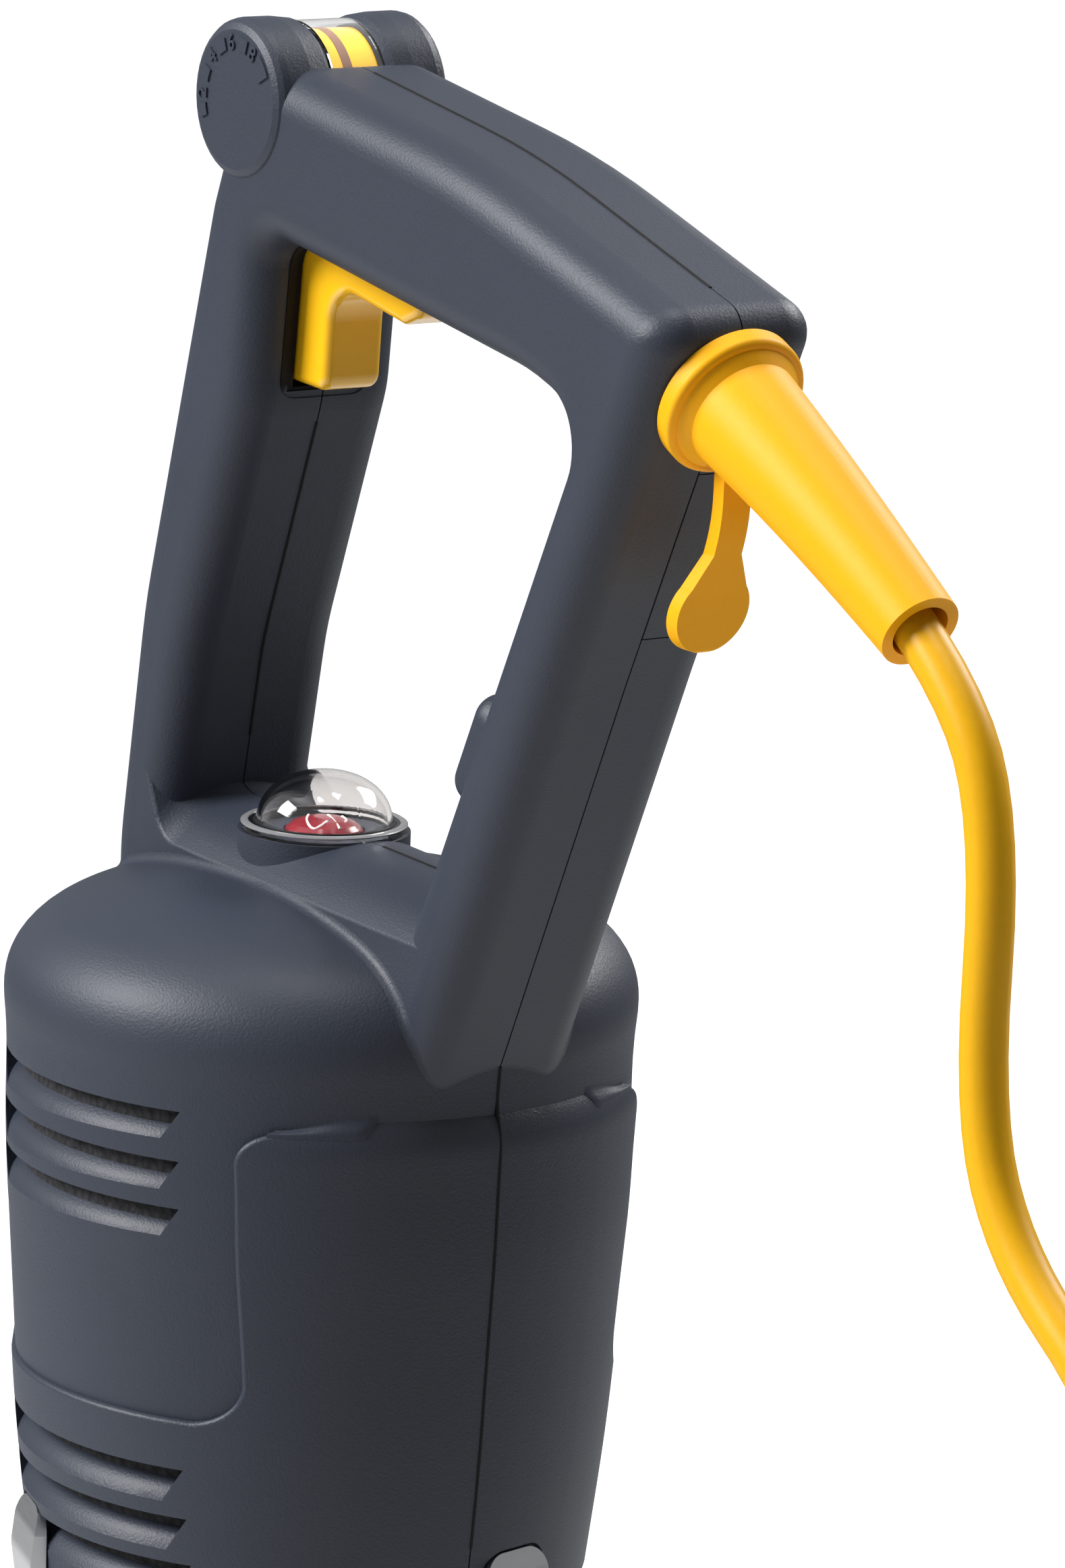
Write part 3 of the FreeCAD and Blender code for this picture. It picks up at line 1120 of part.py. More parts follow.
def build_wheels():
    save("rear_axle", pin(AXLE_R, WHEEL_X, WHEEL_R, WHEEL_Y1 + 2))
    for name, s in (("left", -1), ("right", 1)):
        y0, y1 = s * WHEEL_Y0, s * WHEEL_Y1
        b = AXLE_R + FIT
        hub = spun_y([(b, y0), (15, y0), (15, y0 + s * 4), (31, y0 + s * 4), (31, y0), (RIM_WHEEL_R, y0),
                      (RIM_WHEEL_R, y1), (31, y1), (31, y1 - s * 4), (15, y1 - s * 4), (15, y1), (b, y1)], WHEEL_X, WHEEL_R)
        save("wheel_" + name, hub)
        r = WHEEL_R
        tyre = spun_y([(RIM_WHEEL_R, y0), (r - 3, y0), (r, y0 + s * 3), (r, y1 - s * 3), (r - 3, y1), (RIM_WHEEL_R, y1)],
                      WHEEL_X, WHEEL_R)
        save("tyre_" + name, tyre)


def build_pedal():
    x, z = PEDAL_AT
    arm = block(x, FLOOR_X1 + 34, PEDAL_Y0, PEDAL_Y1, z - 2.5, z + 2.5)
    arm = arm.makeFillet(1.2, [e for e in arm.Edges if e.BoundBox.XMin > FLOOR_X1 + 33])
    p = arm.fuse(rod(5, V(x, PEDAL_Y0, z), V(x, PEDAL_Y1, z)))
    p = p.fuse(rod(3 - FIT, V(x, PEDAL_Y0 - 4, z), V(x, PEDAL_Y1 + 4, z)))
    save("tilt_pedal", p.removeSplitter())


build_head()
build_dial()
build_trigger()
build_power()
build_lock()
build_sleeve()
build_lever()
build_cord()
build_motor()
build_ring()
build_tank()
build_column()
build_clean_tank()
build_chassis()
build_cover()
build_nozzle()
build_brush()
build_drive()
build_wet()
build_wheels()
build_pedal()
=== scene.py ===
# %% [markdown]
# # An upright carpet cleaner, dressed
# The machine's parts are already built to size. This notebook loads them as they are, gives every
# surface its finish, and adds what the solids leave out: the cord as one soft line, the numbers on
# the dial's ear, the swirl on the power button, painted shade along the seams, screws, treads and tufts.
# The room and the cord's route are in metres. The added pieces are in millimetres, and MM turns
# them into metres.

# %% Load the model
import bmesh
import bpy
import random
from math import atan2, cos, degrees, hypot, pi, radians, sin, sqrt
from mathutils import Matrix, Vector
from mathutils.bvhtree import BVHTree


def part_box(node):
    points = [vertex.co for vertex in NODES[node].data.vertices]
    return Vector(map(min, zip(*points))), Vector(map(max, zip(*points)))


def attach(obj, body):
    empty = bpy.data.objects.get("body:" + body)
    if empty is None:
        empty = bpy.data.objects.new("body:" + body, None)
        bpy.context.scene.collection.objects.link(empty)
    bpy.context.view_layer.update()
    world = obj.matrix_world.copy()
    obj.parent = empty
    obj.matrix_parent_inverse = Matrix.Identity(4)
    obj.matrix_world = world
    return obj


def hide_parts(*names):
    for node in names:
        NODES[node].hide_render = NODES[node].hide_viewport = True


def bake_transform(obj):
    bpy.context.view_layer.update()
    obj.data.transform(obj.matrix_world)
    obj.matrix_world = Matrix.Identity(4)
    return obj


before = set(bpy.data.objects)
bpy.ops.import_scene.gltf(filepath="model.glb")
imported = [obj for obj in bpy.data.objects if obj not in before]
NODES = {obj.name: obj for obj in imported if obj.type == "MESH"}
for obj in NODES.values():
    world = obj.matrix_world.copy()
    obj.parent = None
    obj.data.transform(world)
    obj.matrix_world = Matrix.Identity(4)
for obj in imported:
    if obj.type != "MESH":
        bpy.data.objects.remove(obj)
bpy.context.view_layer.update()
MM = 0.001
print("solids loaded:", len(NODES))

# %% [markdown]
# ## Where the camera stands
# A product picture is taken from far away with a long lens, so that upright lines stay nearly
# parallel. The camera looks at a point in the motor head from behind its shoulder, a little above,
# and it leans two degrees, which tips the machine to the right.

# %% Camera
AIM = Vector((0.0122, 0.0384, 0.8866))
CAMERA_FAR = 1.5335
CAMERA_AZIMUTH = radians(55)
CAMERA_HEIGHT = radians(12)
CAMERA_LEAN = radians(2)
CAMERA_SEES_TO = 20
VIEW_ANGLE = radians(11.154)


def placed(name, data):
    """A new object in the scene."""
    item = bpy.data.objects.new(name, data)
    bpy.context.scene.collection.objects.link(item)
    return item


def add_camera():
    out = Vector((sin(CAMERA_AZIMUTH) * cos(CAMERA_HEIGHT),
                  -cos(CAMERA_AZIMUTH) * cos(CAMERA_HEIGHT), sin(CAMERA_HEIGHT)))
    data = bpy.data.cameras.new("camera")
    data.sensor_fit = "VERTICAL"
    data.angle = VIEW_ANGLE
    data.clip_end = CAMERA_SEES_TO
    cam = placed("camera", data)
    turn = out.to_track_quat("Z", "Y") @ Matrix.Rotation(CAMERA_LEAN, 4, "Z").to_quaternion()
    cam.matrix_world = Matrix.Translation(AIM + out * CAMERA_FAR) @ turn.to_matrix().to_4x4()
    bpy.context.scene.camera = cam


add_camera()
bpy.context.scene.view_settings.view_transform = "Standard"
print("camera stands", CAMERA_FAR, "m from the motor head")

# %% [markdown]
# ## Light and floor
# Dark matt plastic only shows its shape where wide, soft lamps graze it. One broad lamp hangs to
# the left and above, so the right side of the machine falls into shade. A lamp behind draws the
# light line along the edges, one straight above lifts the upward faces, and a very weak one keeps
# the shaded side readable.

# %% Lamps
# name, place, size and power in watts
LAMPS = (
    ("key", (-1.0, -1.95, 2.35), (1.2, 1.2), 108.0),
    ("back", (-0.3, 2.1, 2.3), (1.4, 0.8), 50.0),
    ("front", (1.9, -1.7, 1.3), (1.4, 1.4), 1.4),
    ("top", (0.1, 0.1, 3.0), (0.9, 0.9), 24.0),
)
LAMP_AIM = Vector((0.02, 0, 0.9))


def add_lamp(name, place, size, power):
    data = bpy.data.lights.new(name, "AREA")
    data.shape = "RECTANGLE"
    data.size, data.size_y = size
    data.energy = power
    lamp = placed(name, data)
    aim = LAMP_AIM - Vector(place)
    lamp.matrix_world = Matrix.Translation(place) @ aim.to_track_quat("-Z", "Y").to_matrix().to_4x4()


for lamp_facts in LAMPS:
    add_lamp(*lamp_facts)
print("lamps:", len(LAMPS))

# %% [markdown]
# The world is one flat white. To the camera and through clear plastic it is full white; a mirror
# ray sees it greyer, and it lights the object least of all. The floor works the same way: it
# glows only to those rays, and a little less close to the machine, so that a soft shadow stays.

# %% World and floor
WHITE = (1.0, 1.0, 1.0, 1.0)
WORLD_LIGHT = 0.09
MIRRORED_WORLD = 0.28
FLOOR_HALF = 30
FLOOR_TONE = (0.8, 0.8, 0.8, 1)
GLOW_NEAR, GLOW_FAR = 0.62, 1.0
NEAR, FAR = 0.4, 2.2


def calc(nodes, links, operation, first, second):
    node = nodes.new("ShaderNodeMath")
    node.operation = operation
    for socket, value in zip(node.inputs, (first, second)):
        if isinstance(value, (int, float)):
            socket.default_value = value
        else:
            links.new(value, socket)
    return node.outputs[0]


def spread(nodes, links, value, low, high, start=0.0, end=1.0):
    """Turn a value between start and end into one between low and high."""
    node = nodes.new("ShaderNodeMapRange")
    for socket, number in (("From Min", start), ("From Max", end), ("To Min", low), ("To Max", high)):
        node.inputs[socket].default_value = number
    links.new(value, node.inputs["Value"])
    return node.outputs["Result"]


def see_through(nodes, links):
    """The light path's facts, and a value that is 1 for the camera and through clear plastic."""
    path = nodes.new("ShaderNodeLightPath").outputs
    return path, calc(nodes, links, "MAXIMUM", path["Is Camera Ray"], path["Is Transmission Ray"])


def light_world():
    world = bpy.data.worlds.new("studio")
    bpy.context.scene.world = world
    world.use_nodes = True
    nodes, links = world.node_tree.nodes, world.node_tree.links
    back = nodes["Background"]
    back.inputs["Color"].default_value = WHITE
    path, clear = see_through(nodes, links)
    mirrored = spread(nodes, links, path["Is Glossy Ray"], WORLD_LIGHT, MIRRORED_WORLD)
    links.new(calc(nodes, links, "MAXIMUM", clear, mirrored), back.inputs["Strength"])


def start_material(name, **facts):
    mat = bpy.data.materials.new(name)
    mat.use_nodes = True
    shader = mat.node_tree.nodes["Principled BSDF"]
    for socket, value in facts.items():
        shader.inputs[socket.replace("_", " ")].default_value = value
    return mat, mat.node_tree.nodes, mat.node_tree.links, shader


def add_floor():
    bm = bmesh.new()
    bmesh.ops.create_grid(bm, x_segments=1, y_segments=1, size=FLOOR_HALF)
    mesh = bpy.data.meshes.new("floor")
    bm.to_mesh(mesh)
    bm.free()
    floor = placed("floor", mesh)
    mat, nodes, links, shader = start_material("pale floor", Base_Color=FLOOR_TONE, Roughness=0.9,
                                               Emission_Color=WHITE)
    place = nodes.new("ShaderNodeTexCoord").outputs["Object"]
    away = nodes.new("ShaderNodeVectorMath")
    away.operation = "LENGTH"
    links.new(place, away.inputs[0])
    glow = spread(nodes, links, away.outputs["Value"], GLOW_NEAR, GLOW_FAR, NEAR, FAR)
    clear = see_through(nodes, links)[1]
    links.new(calc(nodes, links, "MULTIPLY", clear, glow), shader.inputs["Emission Strength"])
    mesh.materials.append(mat)


light_world()
add_floor()
print("world and floor ready")

# %% [markdown]
# ## The cord
# A mains cord keeps its thickness, so it is one curve through a few given points: out of the
# sleeve, over, down under its own weight and along to the coil. The length that isn't in use is
# wound up on the floor, three columns of turns side by side, and its end climbs over them to the
# plug.

# %% Route of the cord
CORD_R = 4.25 * MM
HANGING = [(0.1677, 0, 0.957), (0.1913, 0, 0.9429), (0.204, 0, 0.9192), (0.202, 0, 0.870),
           (0.214, 0, 0.8465), (0.2405, 0, 0.8295), (0.2565, 0, 0.802), (0.262, -0.002, 0.755),
           (0.267, -0.010, 0.672), (0.272, -0.022, 0.565), (0.277, -0.036, 0.458), (0.280, -0.050, 0.350),
           (0.283, -0.062, 0.242), (0.284, -0.072, 0.162), (0.284, -0.062, 0.095),
           (0.283, -0.0335, 0.0623), (0.281, 0.018, 0.0623)]
COIL_CENTRE = sum(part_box("cord_coil"), Vector()) / 2
COLUMNS = (0.0845, 0.0755, 0.0665)
COLUMN_HALF = 0.0045     # from a column's middle to the way through between two of them
TURNS_EACH = 5.5
LOW_TURN = 0.0044
TOP_TURN = 0.0535
ON_TOP = 0.0623
OVER_EDGE = 0.0590
STEP = 30                # degrees from one point of a turn to the next
CENTRE_R = 0.050         # the last turn, which rises through the middle of the coil
CENTRE_FROM, CENTRE_TO = LOW_TURN + 0.004, 0.062
CENTRE_POINTS = 9
TO_PLUG = [(0.215, 0.058, 0.068), (0.186, 0.070, 0.073), (0.158, 0.071, 0.076), (0.138, 0.058, 0.0757),
           (0.132, 0.036, 0.075)]


def evenly(first, last, count):
    return [first + (last - first) * i / (count - 1) for i in range(count)]


def coil_point(angle, radius, height):
    a = radians(angle)
    return (COIL_CENTRE.x + radius * cos(a), COIL_CENTRE.y + radius * sin(a), height)


def coil_turns(start):
    """Down the outer column, up the middle one, down the inner one, then up through the middle."""
    bend = 1 / cos(radians(STEP / 2)) ** 0.5
    points = [coil_point(start + STEP, COLUMNS[0], ON_TOP),
              coil_point(start + 2 * STEP, COLUMNS[0] * bend, OVER_EDGE)]
    angle = start + 3 * STEP
    heights = [(TOP_TURN, LOW_TURN), (LOW_TURN, TOP_TURN), (TOP_TURN, LOW_TURN)]
    for radius, (z0, z1) in zip(COLUMNS, heights):
        steps = int(TURNS_EACH * 360 / STEP)
        for i in range(steps + 1):
            points.append(coil_point(angle + i * STEP, radius * bend, z0 + (z1 - z0) * i / steps))
        angle += steps * STEP + 3 * STEP
        between = (radius - COLUMN_HALF) * bend
        points.append(coil_point(angle - 1.5 * STEP, between, z1))
    for i, height in enumerate(evenly(CENTRE_FROM, CENTRE_TO, CENTRE_POINTS)):
        points.append(coil_point(angle + i * STEP, CENTRE_R, height))
    return points


START_ANGLE = degrees(atan2(HANGING[-1][1] - COIL_CENTRE.y, HANGING[-1][0] - COIL_CENTRE.x))
ROUTE = HANGING + coil_turns(START_ANGLE) + TO_PLUG
print("cord's route:", len(ROUTE), "points")

# %% [markdown]
# A NURBS curve of order 3 rounds every corner of the route by itself, as a stiff cord does. The
# same curve gives the tube and, read back as a line, the points along the cord.

# %% The cord as one tube
def nurbs_line(name, points):
    data = bpy.data.curves.new(name, "CURVE")
    data.dimensions = "3D"
    spline = data.splines.new("NURBS")
    spline.points.add(len(points) - 1)
    for point, place in zip(spline.points, points):
        point.co = (*place, 1)
    spline.order_u = 3
    spline.use_endpoint_u = True
    data.resolution_u = 6
    return data


def as_mesh(data):
    """The mesh that a curve or a text turns into."""
    holder = placed("holder", data)
    bpy.context.view_layer.update()
    mesh = bpy.data.meshes.new_from_object(holder)
    bpy.data.objects.remove(holder)
    return mesh


def tube_mesh(data, radius, sides=3):
    data.bevel_depth = radius
    data.bevel_resolution = sides
    data.use_fill_caps = True
    mesh = as_mesh(data)
    mesh.shade_smooth()
    return mesh


CORD_LINE = nurbs_line("cord_line", ROUTE)
CORD_PATH = [v.co.copy() for v in as_mesh(CORD_LINE).vertices]
cord = placed("cord", tube_mesh(CORD_LINE, CORD_R))
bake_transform(cord)
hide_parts("power_cord", "cord_coil")

# %% [markdown]
# ## Shared surface effects
# A moulded wall looks real because of what is smaller than its shape: etched grain, a tone that
# drifts a little, and a polish that is never quite even. The idea is the same on every plastic,
# only with other numbers, so each effect is a node group whose named inputs every material fills
# in for itself. Object coordinates keep the grain the same size on a small knob and a large cover.

# %% Helpers for node groups
def start_group(name, inputs, outputs):
    """A new group: its nodes and links, what it is given, its result, and the place on the object."""
    group = bpy.data.node_groups.new(name, "ShaderNodeTree")
    for socket, value in inputs.items():
        kind = "NodeSocketColor" if isinstance(value, tuple) else "NodeSocketFloat"
        group.interface.new_socket(socket, in_out="INPUT", socket_type=kind).default_value = value
    for socket, kind in outputs.items():
        group.interface.new_socket(socket, in_out="OUTPUT", socket_type="NodeSocket" + kind)
    nodes = group.nodes
    given, result = nodes.new("NodeGroupInput").outputs, nodes.new("NodeGroupOutput").inputs
    return group, nodes, group.links, given, result, nodes.new("ShaderNodeTexCoord").outputs["Object"]


def noise_node(nodes, links, place, scale, detail=2.0):
    node = nodes.new("ShaderNodeTexNoise")
    node.inputs["Detail"].default_value = detail
    links.new(place, node.inputs["Vector"])
    if isinstance(scale, (int, float)):
        node.inputs["Scale"].default_value = scale
    else:
        links.new(scale, node.inputs["Scale"])
    return node.outputs["Fac"]


def shaded(nodes, links, colour, factor):
    """The colour made lighter or darker by a factor."""
    mix = nodes.new("ShaderNodeVectorMath")
    mix.operation = "SCALE"
    links.new(colour, mix.inputs[0])
    links.new(factor, mix.inputs["Scale"])
    return mix.outputs[0]


print("helpers for node groups ready")

# %% [markdown]
# Etched grain is a fine noise, about half a millimetre wide, that darkens the colour a little and
# lifts the surface. A second, much wider noise lets the tone and the polish drift across a wall.

# %% Moulded skin: etched grain, drifting tone, uneven polish
DRIFT_SCALE = 14.0       # waves to a metre
SPECK_SHARE = 0.5


def make_moulded_skin():
    group, nodes, links, given, result, place = start_group(
        "moulded skin",
        {"Colour": (0.5, 0.5, 0.5, 1), "Grain Size": 0.4, "Tone": 0.08, "Polish": 0.5,
         "Unevenness": 0.08},
        {"Colour": "Color", "Roughness": "Float", "Height": "Float"})
    to_scale = calc(nodes, links, "DIVIDE", 1.0 / MM, given["Grain Size"])
    fine = noise_node(nodes, links, place, to_scale)
    drift = noise_node(nodes, links, place, DRIFT_SCALE, 3.0)
    drifted = calc(nodes, links, "SUBTRACT", drift, 0.5)
    speck = calc(nodes, links, "MULTIPLY", calc(nodes, links, "SUBTRACT", fine, 0.5), SPECK_SHARE)
    change = calc(nodes, links, "MULTIPLY", calc(nodes, links, "ADD", drifted, speck), given["Tone"])
    factor = calc(nodes, links, "ADD", calc(nodes, links, "MULTIPLY", change, 2.0), 1.0)
    links.new(shaded(nodes, links, given["Colour"], factor), result["Colour"])
    wander = calc(nodes, links, "MULTIPLY", drifted, given["Unevenness"])
    links.new(calc(nodes, links, "ADD", wander, given["Polish"]), result["Roughness"])
    links.new(fine, result["Height"])
    return group


MOULDED_SKIN = make_moulded_skin()
print("moulded skin ready")

# %% [markdown]
# A drawn or spun metal has fine lines round it. The same noise gives them when it is squeezed
# along the upright axis, and it changes the tone and the polish together.

# %% Drawn metal: fine lines along one axis
LINE_SQUEEZE = (1.0, 1.0, 14.0)
LINE_SCALE = 160.0


def make_drawn_metal():
    group, nodes, links, given, result, place = start_group(
        "drawn metal", {"Colour": (0.7, 0.7, 0.7, 1), "Polish": 0.3, "Streaks": 0.1},
        {"Colour": "Color", "Roughness": "Float", "Height": "Float"})
    stretch = nodes.new("ShaderNodeMapping")
    stretch.inputs["Scale"].default_value = LINE_SQUEEZE
    links.new(place, stretch.inputs["Vector"])
    lines = noise_node(nodes, links, stretch.outputs["Vector"], LINE_SCALE, 3.0)
    change = calc(nodes, links, "MULTIPLY", calc(nodes, links, "SUBTRACT", lines, 0.5),
                       given["Streaks"])
    factor = calc(nodes, links, "ADD", change, 1.0)
    links.new(shaded(nodes, links, given["Colour"], factor), result["Colour"])
    links.new(calc(nodes, links, "ADD", change, given["Polish"]), result["Roughness"])
    links.new(lines, result["Height"])
    return group


DRAWN_METAL = make_drawn_metal()
print("drawn metal ready")

# %% [markdown]
# Foam and tufts are open, and light gets lost in the gaps. A cell pattern stands for them: the
# further from a cell's middle, the deeper, and the darker with painted shade of the gaps.

# %% Open fibres: foam and tufts
CELL_LIGHT = 1.2


def make_open_fibres():
    group, nodes, links, given, result, place = start_group(
        "open fibres", {"Colour": (0.1, 0.1, 0.1, 1), "Pore Size": 1.5, "Contrast": 0.6},
        {"Colour": "Color", "Height": "Float"})
    cells = nodes.new("ShaderNodeTexVoronoi")
    links.new(place, cells.inputs["Vector"])
    links.new(calc(nodes, links, "DIVIDE", 1.0 / MM, given["Pore Size"]), cells.inputs["Scale"])
    # painted shade: the colour darkens towards a cell's edge, where the gaps are
    depth = calc(nodes, links, "MULTIPLY", cells.outputs["Distance"], given["Contrast"])
    factor = calc(nodes, links, "SUBTRACT", CELL_LIGHT, depth)
    links.new(shaded(nodes, links, given["Colour"], factor), result["Colour"])
    links.new(cells.outputs["Distance"], result["Height"])
    return group


OPEN_FIBRES = make_open_fibres()
print("shared effects:", [g.name for g in bpy.data.node_groups])

# %% [markdown]
# ## Materials
# Each finish is a Principled shader fed by one of the groups. One function does the wiring, and
# the three short ones below it say which group they use and what its usual numbers are. Grain,
# pore and bump depth are in millimetres.

# %% How a material is put together
METAL_DEPTH = 0.01


def grouped(name, group, depth, settings, **facts):
    """A material whose colour, polish and bump come from one of the shared groups."""
    mat, nodes, links, shader = start_material(name, **facts)
    effect = nodes.new("ShaderNodeGroup")
    effect.node_tree = group
    for socket, value in settings.items():
        effect.inputs[socket].default_value = value
    links.new(effect.outputs["Colour"], shader.inputs["Base Color"])
    if "Roughness" in effect.outputs:
        links.new(effect.outputs["Roughness"], shader.inputs["Roughness"])
    bump = nodes.new("ShaderNodeBump")
    bump.inputs["Distance"].default_value = depth * MM
    bump.inputs["Strength"].default_value = 1.0
    links.new(effect.outputs["Height"], bump.inputs["Height"])
    links.new(bump.outputs["Normal"], shader.inputs["Normal"])
    return mat


def plastic(name, colour, polish, grain, depth, tone=0.08, unevenness=0.08, **facts):
    return grouped(name, MOULDED_SKIN, depth, {"Colour": (*colour, 1), "Grain Size": grain, "Tone": tone,
                                               "Polish": polish, "Unevenness": unevenness}, **facts)


def metal(name, colour, polish, streaks):
    return grouped(name, DRAWN_METAL, METAL_DEPTH, {"Colour": (*colour, 1), "Polish": polish,
                                                    "Streaks": streaks}, Metallic=1.0)


def fibrous(name, colour, pore, gap_shade, depth, roughness):
    return grouped(name, OPEN_FIBRES, depth, {"Colour": (*colour, 1), "Pore Size": pore,
                                              "Contrast": gap_shade}, Roughness=roughness)


print("three kinds of material: plastic, metal, fibrous")

# %% [markdown]
# The head is a hard plastic with a matt, slightly blue grey grain. The parts that a hand looks for
# are yellow, glossy where they are pressed and satin where they only bend, and light goes a little
# way into them. The power button is a clear red.

# %% Plastics
LIGHT_GOES_IN = (0.004, 0.0025, 0.001)
BODY = plastic("blue grey grained plastic", (0.029, 0.036, 0.054), 0.48, grain=0.5, depth=0.08, tone=0.14,
               Specular_IOR_Level=0.4)
FRAME_BLACK = plastic("black structural plastic", (0.020, 0.021, 0.024), 0.5, grain=0.6, depth=0.03)
RECESS = plastic("black recess", (0.006, 0.006, 0.007), 0.6, grain=0.5, depth=0.02, Specular_IOR_Level=0.2)
GLOSSY_YELLOW = plastic("glossy yellow plastic", (0.99, 0.53, 0.012), 0.16, grain=3.0, depth=0.01, tone=0.04,
                        unevenness=0.05, Coat_Weight=0.6, Coat_Roughness=0.06, Subsurface_Weight=0.12,
                        Subsurface_Radius=LIGHT_GOES_IN)
SATIN_YELLOW = plastic("satin yellow rubber", (0.95, 0.445, 0.003), 0.5, grain=0.9, depth=0.02, tone=0.05,
                       Specular_IOR_Level=0.2, Subsurface_Weight=0.1, Subsurface_Radius=LIGHT_GOES_IN)
CORD_SHEATH = plastic("yellow cord sheath", (0.82, 0.42, 0.004), 0.42, grain=1.2, depth=0.02, tone=0.06,
                      Specular_IOR_Level=0.25)
RED_BUTTON = plastic("red button plastic", (0.24, 0.004, 0.016), 0.22, grain=2.0, depth=0.01, tone=0.06,
                     Coat_Weight=0.5, Coat_Roughness=0.08)
WHITE_PRINT = plastic("white print", (0.82, 0.78, 0.78), 0.5, grain=0.5, depth=0.01)
DUCT_GREY = plastic("dark grey duct", (0.045, 0.047, 0.052), 0.55, grain=0.8, depth=0.03)
HUB_GREY = plastic("satin grey hub", (0.16, 0.165, 0.175), 0.4, grain=0.6, depth=0.03)
BOARD_GREEN = plastic("circuit board", (0.015, 0.10, 0.045), 0.35, grain=2.5, depth=0.05, tone=0.5)
PRINT_BROWN = plastic("brown stripe", (0.20, 0.085, 0.045), 0.4, grain=1.0, depth=0.01)
# a pale grey ring of painted light: it stands for light leaving a clear plate at its edge
EDGE_LIGHT_GREY = plastic("painted edge light grey", (0.26, 0.26, 0.27), 0.3, grain=1.0, depth=0.01, Coat_Weight=0.5,
                  Coat_Roughness=0.1)
print("plastics ready")

# %% [markdown]
# Rubber has a closed, dull skin with a fine pimpled bump. The metals are drawn or spun, so they
# get lines, and foam and tufts get the cell pattern.

# %% Rubber, metals and fibres
BELT_RUBBER = plastic("belt rubber", (0.012, 0.012, 0.013), 0.7, grain=0.7, depth=0.06)
TYRE_RUBBER = plastic("tyre rubber", (0.018, 0.018, 0.019), 0.72, grain=1.0, depth=0.1, tone=0.2)
SILVER = metal("satin silver", (0.72, 0.73, 0.75), 0.32, streaks=0.08)
STEEL = metal("motor steel", (0.42, 0.43, 0.45), 0.38, streaks=0.2)
BRASS = metal("brass", (0.78, 0.58, 0.28), 0.28, streaks=0.12)
BLACK_STEEL = metal("blackened screw", (0.10, 0.10, 0.105), 0.34, streaks=0.15)
# their cell pattern darkens the colour between cells as painted shade
FOAM = fibrous("open cell foam", (0.03, 0.03, 0.034), 1.6, 0.9, 0.5, 0.95)
TUFTS = fibrous("yellow nylon tufts", (0.75, 0.42, 0.03), 0.7, 1.0, 0.4, 0.5)
print("metals and fibres ready")

# %% [markdown]
# A lamp can't find its way through a refracting wall in a short render, so a clear wall is mostly
# see-through to shadow rays alone; everything else sees real refraction. The tanks are the same
# plastic with a light smoke tint.

# %% Clear plastics
PLASTIC_IOR = 1.45


def clear_plastic(name, colour, roughness, shade):
    mat, nodes, links, shader = start_material(name, Base_Color=(*colour, 1), Roughness=roughness,
                                               IOR=PLASTIC_IOR, Transmission_Weight=1.0)
    path = nodes.new("ShaderNodeLightPath")
    seen = calc(nodes, links, "MULTIPLY", path.outputs["Is Shadow Ray"], -(1.0 - shade))
    links.new(calc(nodes, links, "ADD", seen, 1.0), shader.inputs["Alpha"])
    return mat


CLEAR = clear_plastic("clear cover", (0.97, 0.975, 0.98), 0.02, 0.12)
CLEAR_DOME = clear_plastic("clear dome", (0.84, 0.82, 0.81), 0.02, 0.2)
SMOKE = clear_plastic("smoked tank", (0.66, 0.70, 0.74), 0.08, 0.35)
print("clear plastics ready")

# %% [markdown]
# ## Finishing the solids
# The rigid solids already have the right shape, so they only change their material.

# %% Which solid wears which finish
FINISHES = (
    (BODY, "shell_left shell_right cable_cover lock_button top_cover lower_front lower_rear"),
    (FRAME_BLACK, "chassis pivot_cap_left pivot_cap_right pivot_hub nozzle power_switch fan_case bulkhead"
                  " float_cage tilt_pedal clean_cap"),
    (RECESS, "trigger_bezel trigger_switch"),
    (GLOSSY_YELLOW, "trigger dial_drum"),
    (SATIN_YELLOW, "strain_relief release_lever plug_body"),
    (CORD_SHEATH, "power_cord cord_coil"),
    (RED_BUTTON, "power_button"),
    (BOARD_GREEN, "circuit_board"),
    (DUCT_GREY, "inlet_tube riser_duct suction_duct brush_core pump float_plug"),
    (HUB_GREY, "wheel_left wheel_right"),
    (CLEAR, "dial_lens nozzle_window"),
    (CLEAR_DOME, "switch_dome"),
    (SMOKE, "recovery_tank clean_tank"),
    (BRASS, "plug_pins spray_bar"),
    (STEEL, "suction_motor brush_motor rear_axle motor_pulley"),
    (SILVER, "impeller coupling_ring latch_rear latch_right latch_left"),
    (FOAM, "exhaust_foam intake_foam"),
    (TUFTS, "brush_bristles"),
    (BELT_RUBBER, "drive_belt"),
    (TYRE_RUBBER, "tyre_left tyre_right"),
)
for finish, node_names in FINISHES:
    for node_name in node_names.split():
        for material_slot in NODES[node_name].material_slots:
            material_slot.material = finish
cord.data.materials.append(CORD_SHEATH)
print("solids finished:", sum(len(names.split()) for _, names in FINISHES), "of", len(NODES))

# %% [markdown]
# ## Tools for the added pieces
# A small part is easiest to make around the world's own axes and to move into place in its mesh as
# the last step, so that its object stays at the origin. These helpers make a turned profile or a
# bevelled bar, move it, join several into one, and wrap them into an object that rides on a body.

# %% Tools for new pieces
MERGE = 0.001 * MM


def made(name, bm, finish, body, sharp=35.0):
    """Wrap a bmesh into an object with a finish that rides on a body."""
    bmesh.ops.remove_doubles(bm, verts=bm.verts, dist=MERGE / 2)
    bmesh.ops.recalc_face_normals(bm, faces=bm.faces)
    mesh = bpy.data.meshes.new(name)
    bm.to_mesh(mesh)
    bm.free()
    mesh.shade_smooth()
    mesh.set_sharp_from_angle(angle=radians(sharp))
    mesh.materials.append(finish)
    piece = placed(name, mesh)
    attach(piece, body)
    return piece


